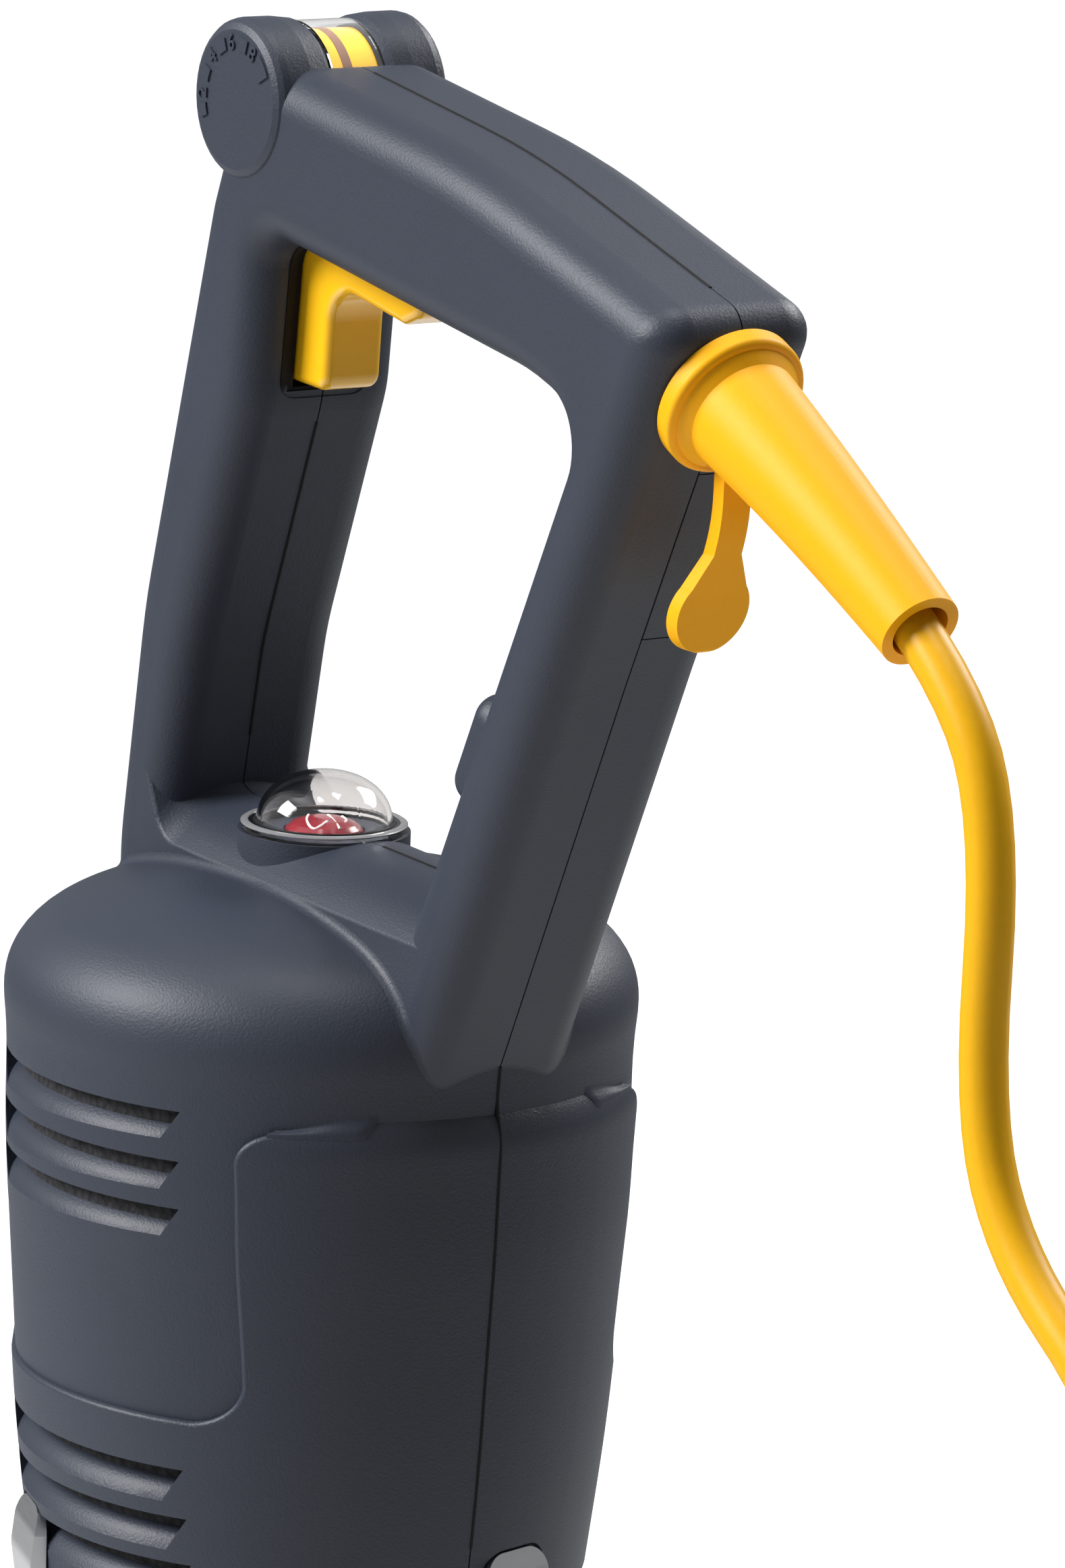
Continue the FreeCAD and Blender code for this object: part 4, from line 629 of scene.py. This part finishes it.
def turned(profile, steps):
    """A closed profile of (radius, height) in millimetres, turned about the upright axis."""
    bm = bmesh.new()
    corners = [bm.verts.new((r * MM, 0, z * MM)) for r, z in profile]
    rims = [bm.edges.new(pair) for pair in zip(corners, corners[1:] + corners[:1])]
    bmesh.ops.spin(bm, geom=corners + rims, axis=(0, 0, 1), angle=2 * pi, steps=steps, use_merge=True)
    bmesh.ops.remove_doubles(bm, verts=bm.verts, dist=MERGE)
    return bm


def raised_verts(bm, geom):
    """A copy of these faces, joined to the first by walls: its corners, ready to be moved."""
    copy = bmesh.ops.extrude_face_region(bm, geom=geom, use_keep_orig=True)["geom"]
    return [v for v in copy if isinstance(v, bmesh.types.BMVert)]


def loose(mesh):
    """The mesh as a bmesh that can be changed."""
    bm = bmesh.new()
    bm.from_mesh(mesh)
    return bm


def moved(bm, matrix):
    bmesh.ops.transform(bm, matrix=matrix, verts=bm.verts)
    return bm


def joined(parts):
    """Several bmeshes as one."""
    whole = bmesh.new()
    for part in parts:
        mesh = bpy.data.meshes.new("part")
        part.to_mesh(mesh)
        part.free()
        whole.from_mesh(mesh)
        bpy.data.meshes.remove(mesh)
    return whole


def along_y(x, z):
    """Lays an upright part down so that its axis runs along y through (x, z)."""
    return Matrix.Translation((x * MM, 0, z * MM)) @ Matrix.Rotation(radians(90), 4, "X")


def block(size, edge, place, segments=2):
    """A bar with bevelled edges; size and place in millimetres."""
    bm = bmesh.new()
    bmesh.ops.create_cube(bm, size=1.0)
    bmesh.ops.scale(bm, vec=[s * MM for s in size], verts=bm.verts)
    bmesh.ops.bevel(bm, geom=bm.edges[:], offset=edge * MM, segments=segments, affect="EDGES",
                    profile=0.5, material=-1)
    return moved(bm, Matrix.Translation(Vector(place) * MM))


print("tools ready")

# %% [markdown]
# Many small pieces lie on a curved wall, and the wall's height there isn't known beforehand. A ray
# sent at the solid finds it: the hit is the place, and the normal says which way the wall faces.
# The solid's triangles are sorted into a tree once, so that hundreds of rays take no time.

# %% Finding the surface
TREES = {}
SHELLS = ("shell_left", "shell_right")
DOWN, FORWARD = (0, 0, -1), (-1, 0, 0)


def surface_tree(node):
    if node not in TREES:
        TREES[node] = BVHTree.FromObject(NODES[node], bpy.context.evaluated_depsgraph_get())
    return TREES[node]


def surface_at(nodes, start, toward):
    """Where a ray first meets one of these solids, and which way the surface faces there."""
    toward = Vector(toward).normalized()
    hits = [surface_tree(n).ray_cast(Vector(start), toward) for n in nodes]
    hits = [hit for hit in hits if hit[0] is not None]
    place, normal = min(hits, key=lambda hit: hit[3])[:2]
    return place, normal if normal.dot(toward) < 0 else -normal


print("rays ready")

# %% [markdown]
# ## The speed scale on the ear
# The dial is read against raised marks on the ear beside it: five wedges that grow with the
# setting, and the even numbers between them. They are the shell's own plastic and stand out by
# their shadows only. The wedges are short arcs turned on the dial's axis, and the numbers are text
# made into a mesh.

# %% Speed scale
DIAL_CENTRE = Vector((-9.1, -19.2, 1017.7)) * MM
MARK_RISE = 0.38
MARK_SUNK = 0.3          # how far the marks reach into the ear, so that no gap shows
# inner and outer radius, then the angles in degrees between which a wedge lies
WEDGES = ((10.3, 12.3, -171.0, -158.5), (9.9, 12.0, 152.0, 166.5), (9.6, 11.9, 111.0, 126.5),
          (9.3, 11.9, 71.5, 87.0), (8.7, 12.1, 27.5, 50.0))
# text, radius, angle
NUMBERS = (("2", 11.3, 179.0), ("4", 10.9, 138.5), ("6", 10.7, 100.0), ("8", 10.5, 60.0))
NUMBER_SIZE = 4.2
NUMBER_BOLDER = 0.05
WEDGE_STEPS = 6


def wedge(inner, outer, start, end):
    bm = bmesh.new()
    a = radians(start)
    ends = [bm.verts.new((r * MM * cos(a), 0, r * MM * sin(a))) for r in (inner, outer)]
    side = bm.edges.new(ends)
    bmesh.ops.spin(bm, geom=ends + [side], axis=(0, -1, 0), angle=radians(end - start), steps=WEDGE_STEPS)
    raised = raised_verts(bm, bm.faces[:])
    bmesh.ops.translate(bm, vec=(0, -(MARK_RISE + MARK_SUNK) * MM, 0), verts=raised)
    return moved(bm, Matrix.Translation(DIAL_CENTRE + Vector((0, MARK_SUNK * MM, 0))))


def number(text, radius, angle):
    data = bpy.data.curves.new("number", "FONT")
    data.body = text
    data.size = NUMBER_SIZE * MM
    data.align_x, data.align_y = "CENTER", "CENTER"
    data.extrude = (MARK_RISE + MARK_SUNK) / 2 * MM
    data.offset = NUMBER_BOLDER * MM
    a = radians(angle)
    outward = Vector((cos(a), 0, sin(a)))
    right = Vector((sin(a), 0, -cos(a)))
    facing = Vector((0, -1, 0))
    place = DIAL_CENTRE + outward * radius * MM + facing * (MARK_RISE - MARK_SUNK) / 2 * MM
    turn = Matrix((right, outward, facing)).transposed().to_4x4()
    return moved(loose(as_mesh(data)), Matrix.Translation(place) @ turn)


scale_parts = [wedge(*facts) for facts in WEDGES] + [number(*facts) for facts in NUMBERS]
made("speed_scale", joined(scale_parts), BODY, "tower", sharp=20)
print("speed scale:", len(WEDGES), "wedges,", len(NUMBERS), "numbers")

# %% [markdown]
# ## Inside the speed dial
# The dial is a clear sleeve, a thin tube with air behind it, around a yellow drum that fills it
# almost to the wall. The drum carries a brown stripe that shows how far it is turned, and a dark
# seal closes each end. Each is one small profile turned on the lathe.

# %% Dial sleeve, drum, stripe and end rings
AT_DIAL = along_y(-9.7, 1017.7)
DIAL_STEPS = 72
SLEEVE = [(13.3, -5.8), (13.5, -6.0), (14.1, -6.0), (14.3, -5.8), (14.3, 5.8), (14.1, 6.0), (13.5, 6.0),
          (13.3, 5.8)]
DRUM = [(0.4, -10.5), (2.5, -10.5), (2.5, -5.6), (12.3, -5.6), (12.6, -5.3), (12.6, 5.3), (12.3, 5.6),
        (2.5, 5.6), (2.5, 10.5), (0.4, 10.5)]
STRIPE = [(12.5, 0.6), (12.7, 0.6), (12.7, 2.6), (12.5, 2.6)]
SEAL = [(12.0, 5.95), (13.25, 5.95), (13.25, 5.3), (13.0, 5.05), (12.7, 5.05), (12.0, 5.7)]


def on_dial(name, profiles, finish):
    rings = joined([turned(profile, DIAL_STEPS) for profile in profiles])
    return made(name, moved(rings, AT_DIAL), finish, "dial")


sleeve_piece = on_dial("dial_sleeve", [SLEEVE], CLEAR)
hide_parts("dial_lens")
drum_piece = on_dial("dial_roller", [DRUM], GLOSSY_YELLOW)
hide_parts("dial_drum")
on_dial("dial_stripe", [STRIPE], PRINT_BROWN)
on_dial("dial_end_rings", [[(r, side * z) for r, z in SEAL] for side in (-1, 1)], RECESS)
print("dial rings ready")

# %% [markdown]
# ## The power button's mark and the rings round its dome
# The red button under the dome carries a thin printed swirl. A ray drops each stroke's points onto
# the button, so the line follows the curve. A dark ring fills the groove between the dome and its
# flange. The flange's rim is a pale grey ring of painted light: it stands for the light that enters
# a clear plate and leaves it at the edge.

# %% Power mark and rings round the dome
BUTTON_AT = Vector((-1.4, 0.0, 0.0))
UNDER_DOME = 0.8865      # metres; the rays start here, between the button and its dome
# each stroke as points (x, y) from the button's middle
STROKES = (((-3.4, -1.4), (-1.3, -3.3), (1.6, -4.8), (3.9, -5.1), (4.1, -3.5), (3.2, -1.5)),
           ((-0.4, 1.1), (3.4, 0.1), (6.2, -0.6)),
           ((0.7, 3.5), (3.2, 3.5), (4.2, 1.8)))
STROKE_R = 0.27 * MM
DARK_GROOVE_RING = [(12.95, 880.2), (13.6, 880.2), (13.6, 880.5), (13.45, 880.65), (12.95, 880.65)]
FLANGE = [(14.5, 880.3), (15.95, 880.15), (15.95, 880.3), (15.5, 880.6), (14.6, 880.6)]
RING_STEPS = 64


def stroke(points):
    starts = [((x + BUTTON_AT.x) * MM, y * MM, UNDER_DOME) for x, y in points]
    line = [surface_at(["power_button"], start, DOWN)[0] for start in starts]
    return loose(tube_mesh(nurbs_line("stroke", line), STROKE_R, 2))


made("power_mark", joined([stroke(points) for points in STROKES]), WHITE_PRINT, "power_button")
# the flange's pale rim is painted light at the clear plate's edge
for name, profile, finish, slot in (("dome_dark_ring", DARK_GROOVE_RING, RECESS, "recess"),
                                    ("flange_rim", FLANGE, EDGE_LIGHT_GREY, "clear")):
    made(name, moved(turned(profile, RING_STEPS), Matrix.Translation(BUTTON_AT * MM)), finish, "tower")
print("power mark strokes:", len(STROKES))

# %% [markdown]
# ## Where the raised band starts
# At the back, beside each plain field, the band's upper edge would end in a hard ledge. On the
# real housing it is a soft slope that rises to meet the band. A grid is laid over the ledge, a ray
# drops every point onto the housing, and the points on the ledge are lifted to an even slope. The
# grid then gets a wall that reaches into the housing, so that its edge never shows as a gap.

# %% Soft slopes of the band
HEAD_Z = 830.0           # heights on the head are measured from here
LEDGE = 4.6              # height of the ledge
SLOPE_X = (44.5, 54.6)
SLOPE_LEAST, SLOPE_RISE = 0.25, 3.3
LAP_BELOW, LAP_ABOVE = 0.8, 0.3
SLOPE_PROUD, SLOPE_WALL = 0.012, 0.8
SLOPE_GRID = (12, 10)
LOW_CLEAR, STARTS_EARLY = 0.1, 0.05
FROM_OUTSIDE = 0.09      # metres; the rays start beside the housing


def eased(t):
    t = min(1.0, max(0.0, t))
    return t * t * (3 - 2 * t)


def out_at(x, z, side):
    start = (x * MM, side * FROM_OUTSIDE, (HEAD_Z + z) * MM)
    return surface_at(SHELLS, start, (0, -side, 0))[0].y


def slope(side):
    """One slope at the back: side is -1 on the left, +1 on the right."""
    bm = bmesh.new()
    bmesh.ops.create_grid(bm, x_segments=SLOPE_GRID[0], y_segments=SLOPE_GRID[1], size=0.5)
    for v in bm.verts:
        u, w = v.co.x + 0.5, v.co.y + 0.5
        x = SLOPE_X[0] + (SLOPE_X[1] - SLOPE_X[0]) * u
        rise = SLOPE_LEAST + SLOPE_RISE * eased(u)
        z = LEDGE - LAP_BELOW + (rise + LAP_BELOW + LAP_ABOVE) * w
        low = out_at(x, LEDGE - LAP_BELOW - LOW_CLEAR, side)
        high = out_at(x, LEDGE + rise + LAP_ABOVE, side)
        sloped = low + (high - low) * eased((z - LEDGE + STARTS_EARLY) / rise)
        now = out_at(x, z, side)
        y = max(sloped, now) if side > 0 else min(sloped, now)
        v.co = (x * MM, y + side * SLOPE_PROUD * MM, (HEAD_Z + z) * MM)
    inner = raised_verts(bm, bm.faces[:])
    bmesh.ops.translate(bm, vec=(0, -side * SLOPE_WALL * MM, 0), verts=inner)
    return bm


made("band_slopes", joined([slope(side) for side in (-1, 1)]), BODY, "tower", sharp=60)
print("band slopes ready")

# %% [markdown]
# ## Painted shade in the seam
# The halves of the head meet in a dark line. The solids leave a narrow gap; a thin black tube lies
# in it, just proud of the plastic, as painted shade: it stands for the shadow in the seam's groove,
# so that the line reads as dark as it does on the real shell. Rays find the surface along the
# crown, the front post, the deck and the back, and the thin tube follows them.

# %% Painted seam shade
SEAM_SHADE_R = 0.46 * MM
SEAM_SHADE_SUNK = 0.2 * MM
BESIDE_SEAM = -0.4 * MM  # the rays run beside the gap, because in it they would hit nothing


def seam_shade_line(starts, toward):
    toward = Vector(toward)
    line = [surface_at(["shell_left"], (x * MM, BESIDE_SEAM, z * MM), toward)[0] for x, z in starts]
    line = [Vector((p.x, 0, p.z)) + toward * SEAM_SHADE_SUNK for p in line]
    return loose(tube_mesh(nurbs_line("seam_shade_line", line), SEAM_SHADE_R, 1))


seam_shade_lines = [seam_shade_line([(x, 1060) for x in evenly(8, 116, 28)], DOWN),         # crown
         seam_shade_line([(90, z) for z in evenly(752, 846, 24)], FORWARD),      # back of the housing
         seam_shade_line([(10, z) for z in evenly(892, 956, 14)], FORWARD),      # front post, inner side
         seam_shade_line([(x, 900) for x in evenly(19, 44, 10)], DOWN)]          # deck
# painted shade: black tubes along the seam stand for the shadow in its groove
made("painted_seam_shade", joined(seam_shade_lines), RECESS, "tower", sharp=80)
print("painted seam shade lines:", len(seam_shade_lines))

# %% [markdown]
# ## Black rim round the trigger
# The trigger's slot has a thin black lip on the handle's rounded inner edge. Its path is a rounded
# rectangle wrapped over that edge: one direction runs along the walls of the hand opening, the
# other across the handle. A ray finds the plastic under every point of the path, and four points
# there make the lip's cross-section.

# %% Trigger rim
# where the rays start, inside the hand opening, and which way they go: x, z, then the direction
RIM_WALK = ((-2.0, 959.0, -1.0, 0.09), (0.2, 984.5, -1.0, 0.09), (1.2, 987.6, -0.66, 0.75),
            (4.2, 987.2, 0.15, 0.99), (39.0, 981.9, 0.15, 0.99))
RIM_ENDS = (3.35, 66.9)  # lengths along that walk
RIM_HALF = 8.35          # half the slot across the handle
RIM_WIDE = 1.5
RIM_RISE = 0.22
RIM_CORNER = 2.0
RIM_SIDE_STEPS, RIM_ARC_STEPS = 40, 5
RIM_SEAM = 0.4           # no ray may slip through the seam between the halves


def rim_ray(along, y):
    """Start and direction of the ray that finds the rim at this length along the walk."""
    for (x, z, u, w), (x2, z2, u2, w2) in zip(RIM_WALK, RIM_WALK[1:]):
        long = hypot(x2 - x, z2 - z)
        if along <= long:
            break
        along -= long
    part = min(along / long, 1.0)
    y = y if abs(y) > RIM_SEAM else RIM_SEAM
    start = (x + (x2 - x) * part, y, z + (z2 - z) * part)
    return [c * MM for c in start], (u + (u2 - u) * part, 0, w + (w2 - w) * part)


def rim_path(grow):
    """A rounded rectangle of (length along, y), walked once round."""
    low, high = RIM_ENDS[0] - grow, RIM_ENDS[1] + grow
    half, corner = RIM_HALF + grow, RIM_CORNER + grow
    inner = [(high - corner, half - corner), (low + corner, half - corner),
             (low + corner, corner - half), (high - corner, corner - half)]
    path = []
    for k, (a, b) in enumerate(inner):
        arc = [radians(90 * k + 90 * i / RIM_ARC_STEPS) for i in range(RIM_ARC_STEPS + 1)]
        path += [(a + corner * cos(t), b + corner * sin(t)) for t in arc]
        a2, b2 = inner[(k + 1) % 4]
        end = path[-1]
        path += [(end[0] + (a2 - a) * i / RIM_SIDE_STEPS, end[1] + (b2 - b) * i / RIM_SIDE_STEPS)
                 for i in range(1, RIM_SIDE_STEPS)]
    return path


def add_trigger_rim():
    bm = bmesh.new()
    rings = []
    for grow, rise in ((0, -1), (0, 1), (RIM_WIDE, 1), (RIM_WIDE, -1)):
        ring = []
        for along, y in rim_path(grow):
            place, normal = surface_at(SHELLS, *rim_ray(along, y))
            ring.append(bm.verts.new(place + normal * rise * RIM_RISE * MM))
        rings.append(ring)
    for ring, following in zip(rings, rings[1:] + rings[:1]):
        for i, corner in enumerate(ring):
            j = (i + 1) % len(ring)
            bm.faces.new((corner, ring[j], following[j], following[i]))
    made("trigger_rim", bm, RECESS, "tower", sharp=50)


add_trigger_rim()
print("trigger rim ready")

# %% [markdown]
# ## Screws
# Each screw is a low domed head with a six-lobed socket: a disc is bevelled, its top is inset, the
# inner ring is pulled into a wave of six lobes, and the middle is pushed down. A ray finds the
# surface, so every head sits flat on the plastic whatever way it faces.

# %% Screws
# shares of the head's radius
SCREW_TALL, SCREW_EDGE, SCREW_INSET, SOCKET_DEEP, SCREW_LIFT = 0.55, 0.3, 0.22, 0.35, 0.1
SOCKET_WAVE = 0.16
HEAD_SCREW_R, COLUMN_SCREW_R, COVER_SCREW_R = 2.6, 3.0, 3.2


def top_face(bm):
    return max(bm.faces, key=lambda f: f.calc_center_median().z)


def screw_head(radius):
    bm = bmesh.new()
    size = radius * MM
    bmesh.ops.create_cone(bm, cap_ends=True, cap_tris=False, segments=24, radius1=size, radius2=size,
                          depth=radius * SCREW_TALL * MM)
    bmesh.ops.bevel(bm, geom=top_face(bm).edges[:], offset=radius * SCREW_EDGE * MM, segments=3,
                    affect="EDGES", profile=0.5, material=-1)
    top = top_face(bm)
    bmesh.ops.inset_region(bm, faces=[top], thickness=radius * SCREW_INSET * MM)
    for v in top.verts:
        pull = 1.0 + SOCKET_WAVE * cos(6 * atan2(v.co.y, v.co.x))
        v.co.x *= pull
        v.co.y *= pull
    pushed = bmesh.ops.extrude_face_region(bm, geom=[top])["geom"]
    down = [v for v in pushed if isinstance(v, bmesh.types.BMVert)]
    bmesh.ops.translate(bm, vec=(0, 0, -radius * SOCKET_DEEP * MM), verts=down)
    bmesh.ops.translate(bm, vec=(0, 0, radius * SCREW_LIFT * MM), verts=bm.verts)
    return bm


def screw_on(nodes, start, toward, radius):
    place, facing = surface_at(nodes, start, toward)
    turn = facing.to_track_quat("Z", "Y").to_matrix().to_4x4()
    return moved(screw_head(radius), Matrix.Translation(place) @ turn)


HEAD_SCREWS = ((-35.5, 905), (-25.5, 950), (30, 1005), (85, 985), (85, 925), (62, 880), (-42, 850), (20, 850))
COLUMN_SCREWS = [(y, z) for y in (-20, 20) for z in (186, 335, 484)]
COVER_SCREWS = [(x, y) for x in (-128, 72) for y in (-112, 112)]
BEYOND = 0.1             # metres; the rays start this far out
in_head = [screw_on(["shell_right"], (x * MM, BEYOND, z * MM), (0, -1, 0), HEAD_SCREW_R)
           for x, z in HEAD_SCREWS]
in_column = [screw_on(["lower_rear"], (BEYOND, y * MM, z * MM), FORWARD, COLUMN_SCREW_R)
             for y, z in COLUMN_SCREWS]
in_cover = [screw_on(["top_cover"], (x * MM, y * MM, 2 * BEYOND), DOWN, COVER_SCREW_R)
            for x, y in COVER_SCREWS]
made("head_screws", joined(in_head), BLACK_STEEL, "tower")
made("column_screws", joined(in_column), BLACK_STEEL, "tower")
made("cover_screws", joined(in_cover), BLACK_STEEL, "floor_head")
print("screws:", len(HEAD_SCREWS) + len(COLUMN_SCREWS) + len(COVER_SCREWS))

# %% [markdown]
# ## Tyres, spokes and axle clips
# The solid tyre is a plain ring. The real one has grooves that lead the water away, so a finer
# profile with four grooves is turned and takes the solid's place. Six spokes stiffen the dish of
# the wheel, and a spring clip keeps it on the axle.

# %% Wheels
AXLE = (62.0, 46.0)
TYRE_OUT, TYRE_IN = 46.0, 36.0
WHEEL_FROM, WHEEL_TO = 131.0, 153.0
TYRE_STEPS, CLIP_STEPS = 72, 32
GROOVES = (136.5, 140.2, 143.8, 147.5)
GROOVE_HALF, GROOVE_DEEP, GROOVE_SLANT = 0.7, 1.3, 0.25
SPOKES = 6
SPOKE, SPOKE_EDGE = (16.6, 3.2, 3.6), 0.6
SPOKE_AT = (23.0, 0.0, WHEEL_TO - 2.4)
CLIP = [(5.05, 153.2), (7.6, 153.2), (7.9, 153.5), (7.9, 154.0), (7.4, 154.3), (5.05, 154.3)]


def tyre_profile():
    out, low, high = TYRE_OUT, WHEEL_FROM, WHEEL_TO
    profile = [(TYRE_IN, low), (out - 4.2, low), (out - 3.0, low + 0.3), (out - 0.9, low + 1.6),
               (out, low + 3.4)]
    for middle in GROOVES:
        a, b = middle - GROOVE_HALF, middle + GROOVE_HALF
        profile += [(out, a - GROOVE_SLANT), (out - GROOVE_DEEP, a), (out - GROOVE_DEEP, b),
                    (out, b + GROOVE_SLANT)]
    return profile + [(out, high - 3.4), (out - 0.9, high - 1.6), (out - 3.0, high - 0.3),
                      (out - 4.2, high), (TYRE_IN + 1.2, high), (TYRE_IN, high - 0.4)]


def wheel_spokes():
    turns = [Matrix.Rotation(2 * pi * i / SPOKES, 4, "Z") for i in range(SPOKES)]
    return joined([moved(block(SPOKE, SPOKE_EDGE, SPOKE_AT), turn) for turn in turns])


for name, side in (("left", 1), ("right", -1)):
    wheel = "wheel_" + name
    at_wheel = along_y(*AXLE) @ Matrix.Scale(side, 4, (0, 0, 1))
    tread = moved(turned(tyre_profile(), TYRE_STEPS), at_wheel)
    tyre = made("tread_" + name, tread, TYRE_RUBBER, wheel)
    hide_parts("tyre_" + name)
    made("spokes_" + name, moved(wheel_spokes(), at_wheel), HUB_GREY, wheel)
    made("axle_clip_" + name, moved(turned(CLIP, CLIP_STEPS), at_wheel), STEEL, "floor_head")
print("wheels ready")

# %% [markdown]
# ## The brush
# The solid stands for each tuft with one cone. A real tuft is a bundle of nylon filaments that
# spreads towards its tips. Each is a cone with five sides, because there are hundreds of them, and
# a seeded random scatters them, so that the brush is the same on every run.

# %% Brush tufts
BRUSH_AXIS = (-104.0, 27.0)
CORE_R, TIP_R = 14.0, 26.3
TUFT_PITCH, TUFT_FIRST, TUFTS_LONG = 13.0, -100.0, 16
TUFTS_ROUND, TUFT_TWIST = 4, 12     # rows round the core, and degrees from one tuft to the next
FILAMENTS = 12
THICK, THIN = 0.62, 0.36            # a filament's radius at its root and at its tip
ROOT_SPREAD, TIP_SPREAD = 2.3, 3.9
GOLDEN_ANGLE = 137.5                # degrees; it spreads points evenly over a disc
STRAY = 20                          # degrees a filament may stray from that angle
ROOT_SUNK, RAGGED, DOMED = 0.3, 0.5, 0.5
CORE_SLEEVE = [(14.0, -103), (15.1, -103), (15.1, 103), (14.0, 103)]
CORE_STEPS = 40
scatter = random.Random(7)


def filament(root, tip):
    bm = bmesh.new()
    bmesh.ops.create_cone(bm, cap_ends=True, cap_tris=False, segments=5, radius1=THICK * MM,
                          radius2=THIN * MM, depth=(tip - root).length)
    turn = (tip - root).to_track_quat("Z", "Y").to_matrix().to_4x4()
    return moved(bm, Matrix.Translation((root + tip) / 2) @ turn)


def tuft(y, angle):
    a = radians(angle)
    out = Vector((sin(a), 0, cos(a)))
    along, across = Vector((0, 1, 0)), Vector((cos(a), 0, -sin(a)))
    centre = Vector((BRUSH_AXIS[0], y, BRUSH_AXIS[1]))
    hairs = []
    for i in range(FILAMENTS):
        b = radians(GOLDEN_ANGLE * i + scatter.uniform(-STRAY, STRAY))
        reach = sqrt((i + 0.5) / FILAMENTS)
        spot = (along * sin(b) + across * cos(b)) * reach
        root = centre + out * (CORE_R - ROOT_SUNK) + spot * ROOT_SPREAD
        tip = centre + out * (TIP_R - scatter.uniform(0, RAGGED) - reach * DOMED) + spot * TIP_SPREAD
        hairs.append(filament(root * MM, tip * MM))
    return joined(hairs)


rows = [tuft(TUFT_FIRST + TUFT_PITCH * i, 360 / TUFTS_ROUND * k + TUFT_TWIST * i)
        for i in range(TUFTS_LONG) for k in range(TUFTS_ROUND)]
rows.append(moved(turned(CORE_SLEEVE, CORE_STEPS), along_y(*BRUSH_AXIS)))
tufts = made("brush_tufts", joined(rows), TUFTS, "brush")
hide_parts("brush_bristles")
print("tufts:", TUFTS_ROUND * TUFTS_LONG)

# %% [markdown]
# ## Marks and grips on the lower machine
# Both tanks carry a ladder of level marks, every fifth one longer. The pedal has ribs for a wet
# sole. A mark on the round tank is a short arc, turned on the lathe at the radius that a ray finds
# there; the other marks and ribs are bevelled bars.

# %% Level marks and pedal ribs
TANK_SIDE = radians(-35)
BESIDE_TANK = 0.1        # metres; the rays start here
TANK_MARKS, LOWEST_TANK_MARK = 15, 540
ARC_LONG, ARC_SHORT = radians(8), radians(4.5)
ARC_SUNK, ARC_PROUD, ARC_HALF = 0.1, 0.22, 0.4
ARC_STEPS = 8
CLEAN_MARKS, LOWEST_CLEAN_MARK = 20, 228
BAR_LONG, BAR_SHORT, BAR_THICK, BAR_TALL, BAR_EDGE = 12.0, 7.0, 0.4, 0.8, 0.1
BAR_X, BAR_END_Y = -96.1, 32
MARK_STEP = 10
LONG_EACH = 5
RIBS, RIB_STEP = 5, 5
RIB, RIB_EDGE = (2.0, 30.0, 1.6), 0.5
RIB_X, RIB_Y, RIB_Z = 105, 80, 57.1


def arc_mark(z, half_angle):
    out_x, out_y = cos(TANK_SIDE), sin(TANK_SIDE)
    start = (out_x * BESIDE_TANK, out_y * BESIDE_TANK, z * MM)
    place, _ = surface_at(["recovery_tank"], start, (-out_x, -out_y, 0))
    radius = hypot(place.x, place.y) / MM
    inner, outer, low, high = radius - ARC_SUNK, radius + ARC_PROUD, z - ARC_HALF, z + ARC_HALF
    bm = bmesh.new()
    corners = [bm.verts.new((r * MM, 0, h * MM))
               for r, h in ((inner, low), (outer, low), (outer, high), (inner, high))]
    face = bm.faces.new(corners)
    bmesh.ops.spin(bm, geom=[face], axis=(0, 0, 1), angle=2 * half_angle, steps=ARC_STEPS)
    return moved(bm, Matrix.Rotation(TANK_SIDE - half_angle, 4, "Z"))


def clean_mark(i):
    long = BAR_SHORT if i % LONG_EACH else BAR_LONG
    place = (BAR_X, BAR_END_Y - long / 2, LOWEST_CLEAN_MARK + MARK_STEP * i)
    return block((BAR_THICK, long, BAR_TALL), BAR_EDGE, place, 1)


tank_marks = [arc_mark(LOWEST_TANK_MARK + MARK_STEP * i, ARC_SHORT if i % LONG_EACH else ARC_LONG)
              for i in range(TANK_MARKS)]
made("tank_marks", joined(tank_marks), WHITE_PRINT, "tower")
made("clean_marks", joined([clean_mark(i) for i in range(CLEAN_MARKS)]), WHITE_PRINT, "clean_tank")
ribs = [block(RIB, RIB_EDGE, (RIB_X + RIB_STEP * i, RIB_Y, RIB_Z)) for i in range(RIBS)]
made("pedal_ribs", joined(ribs), FRAME_BLACK, "tilt_pedal")
print("level marks and ribs ready")
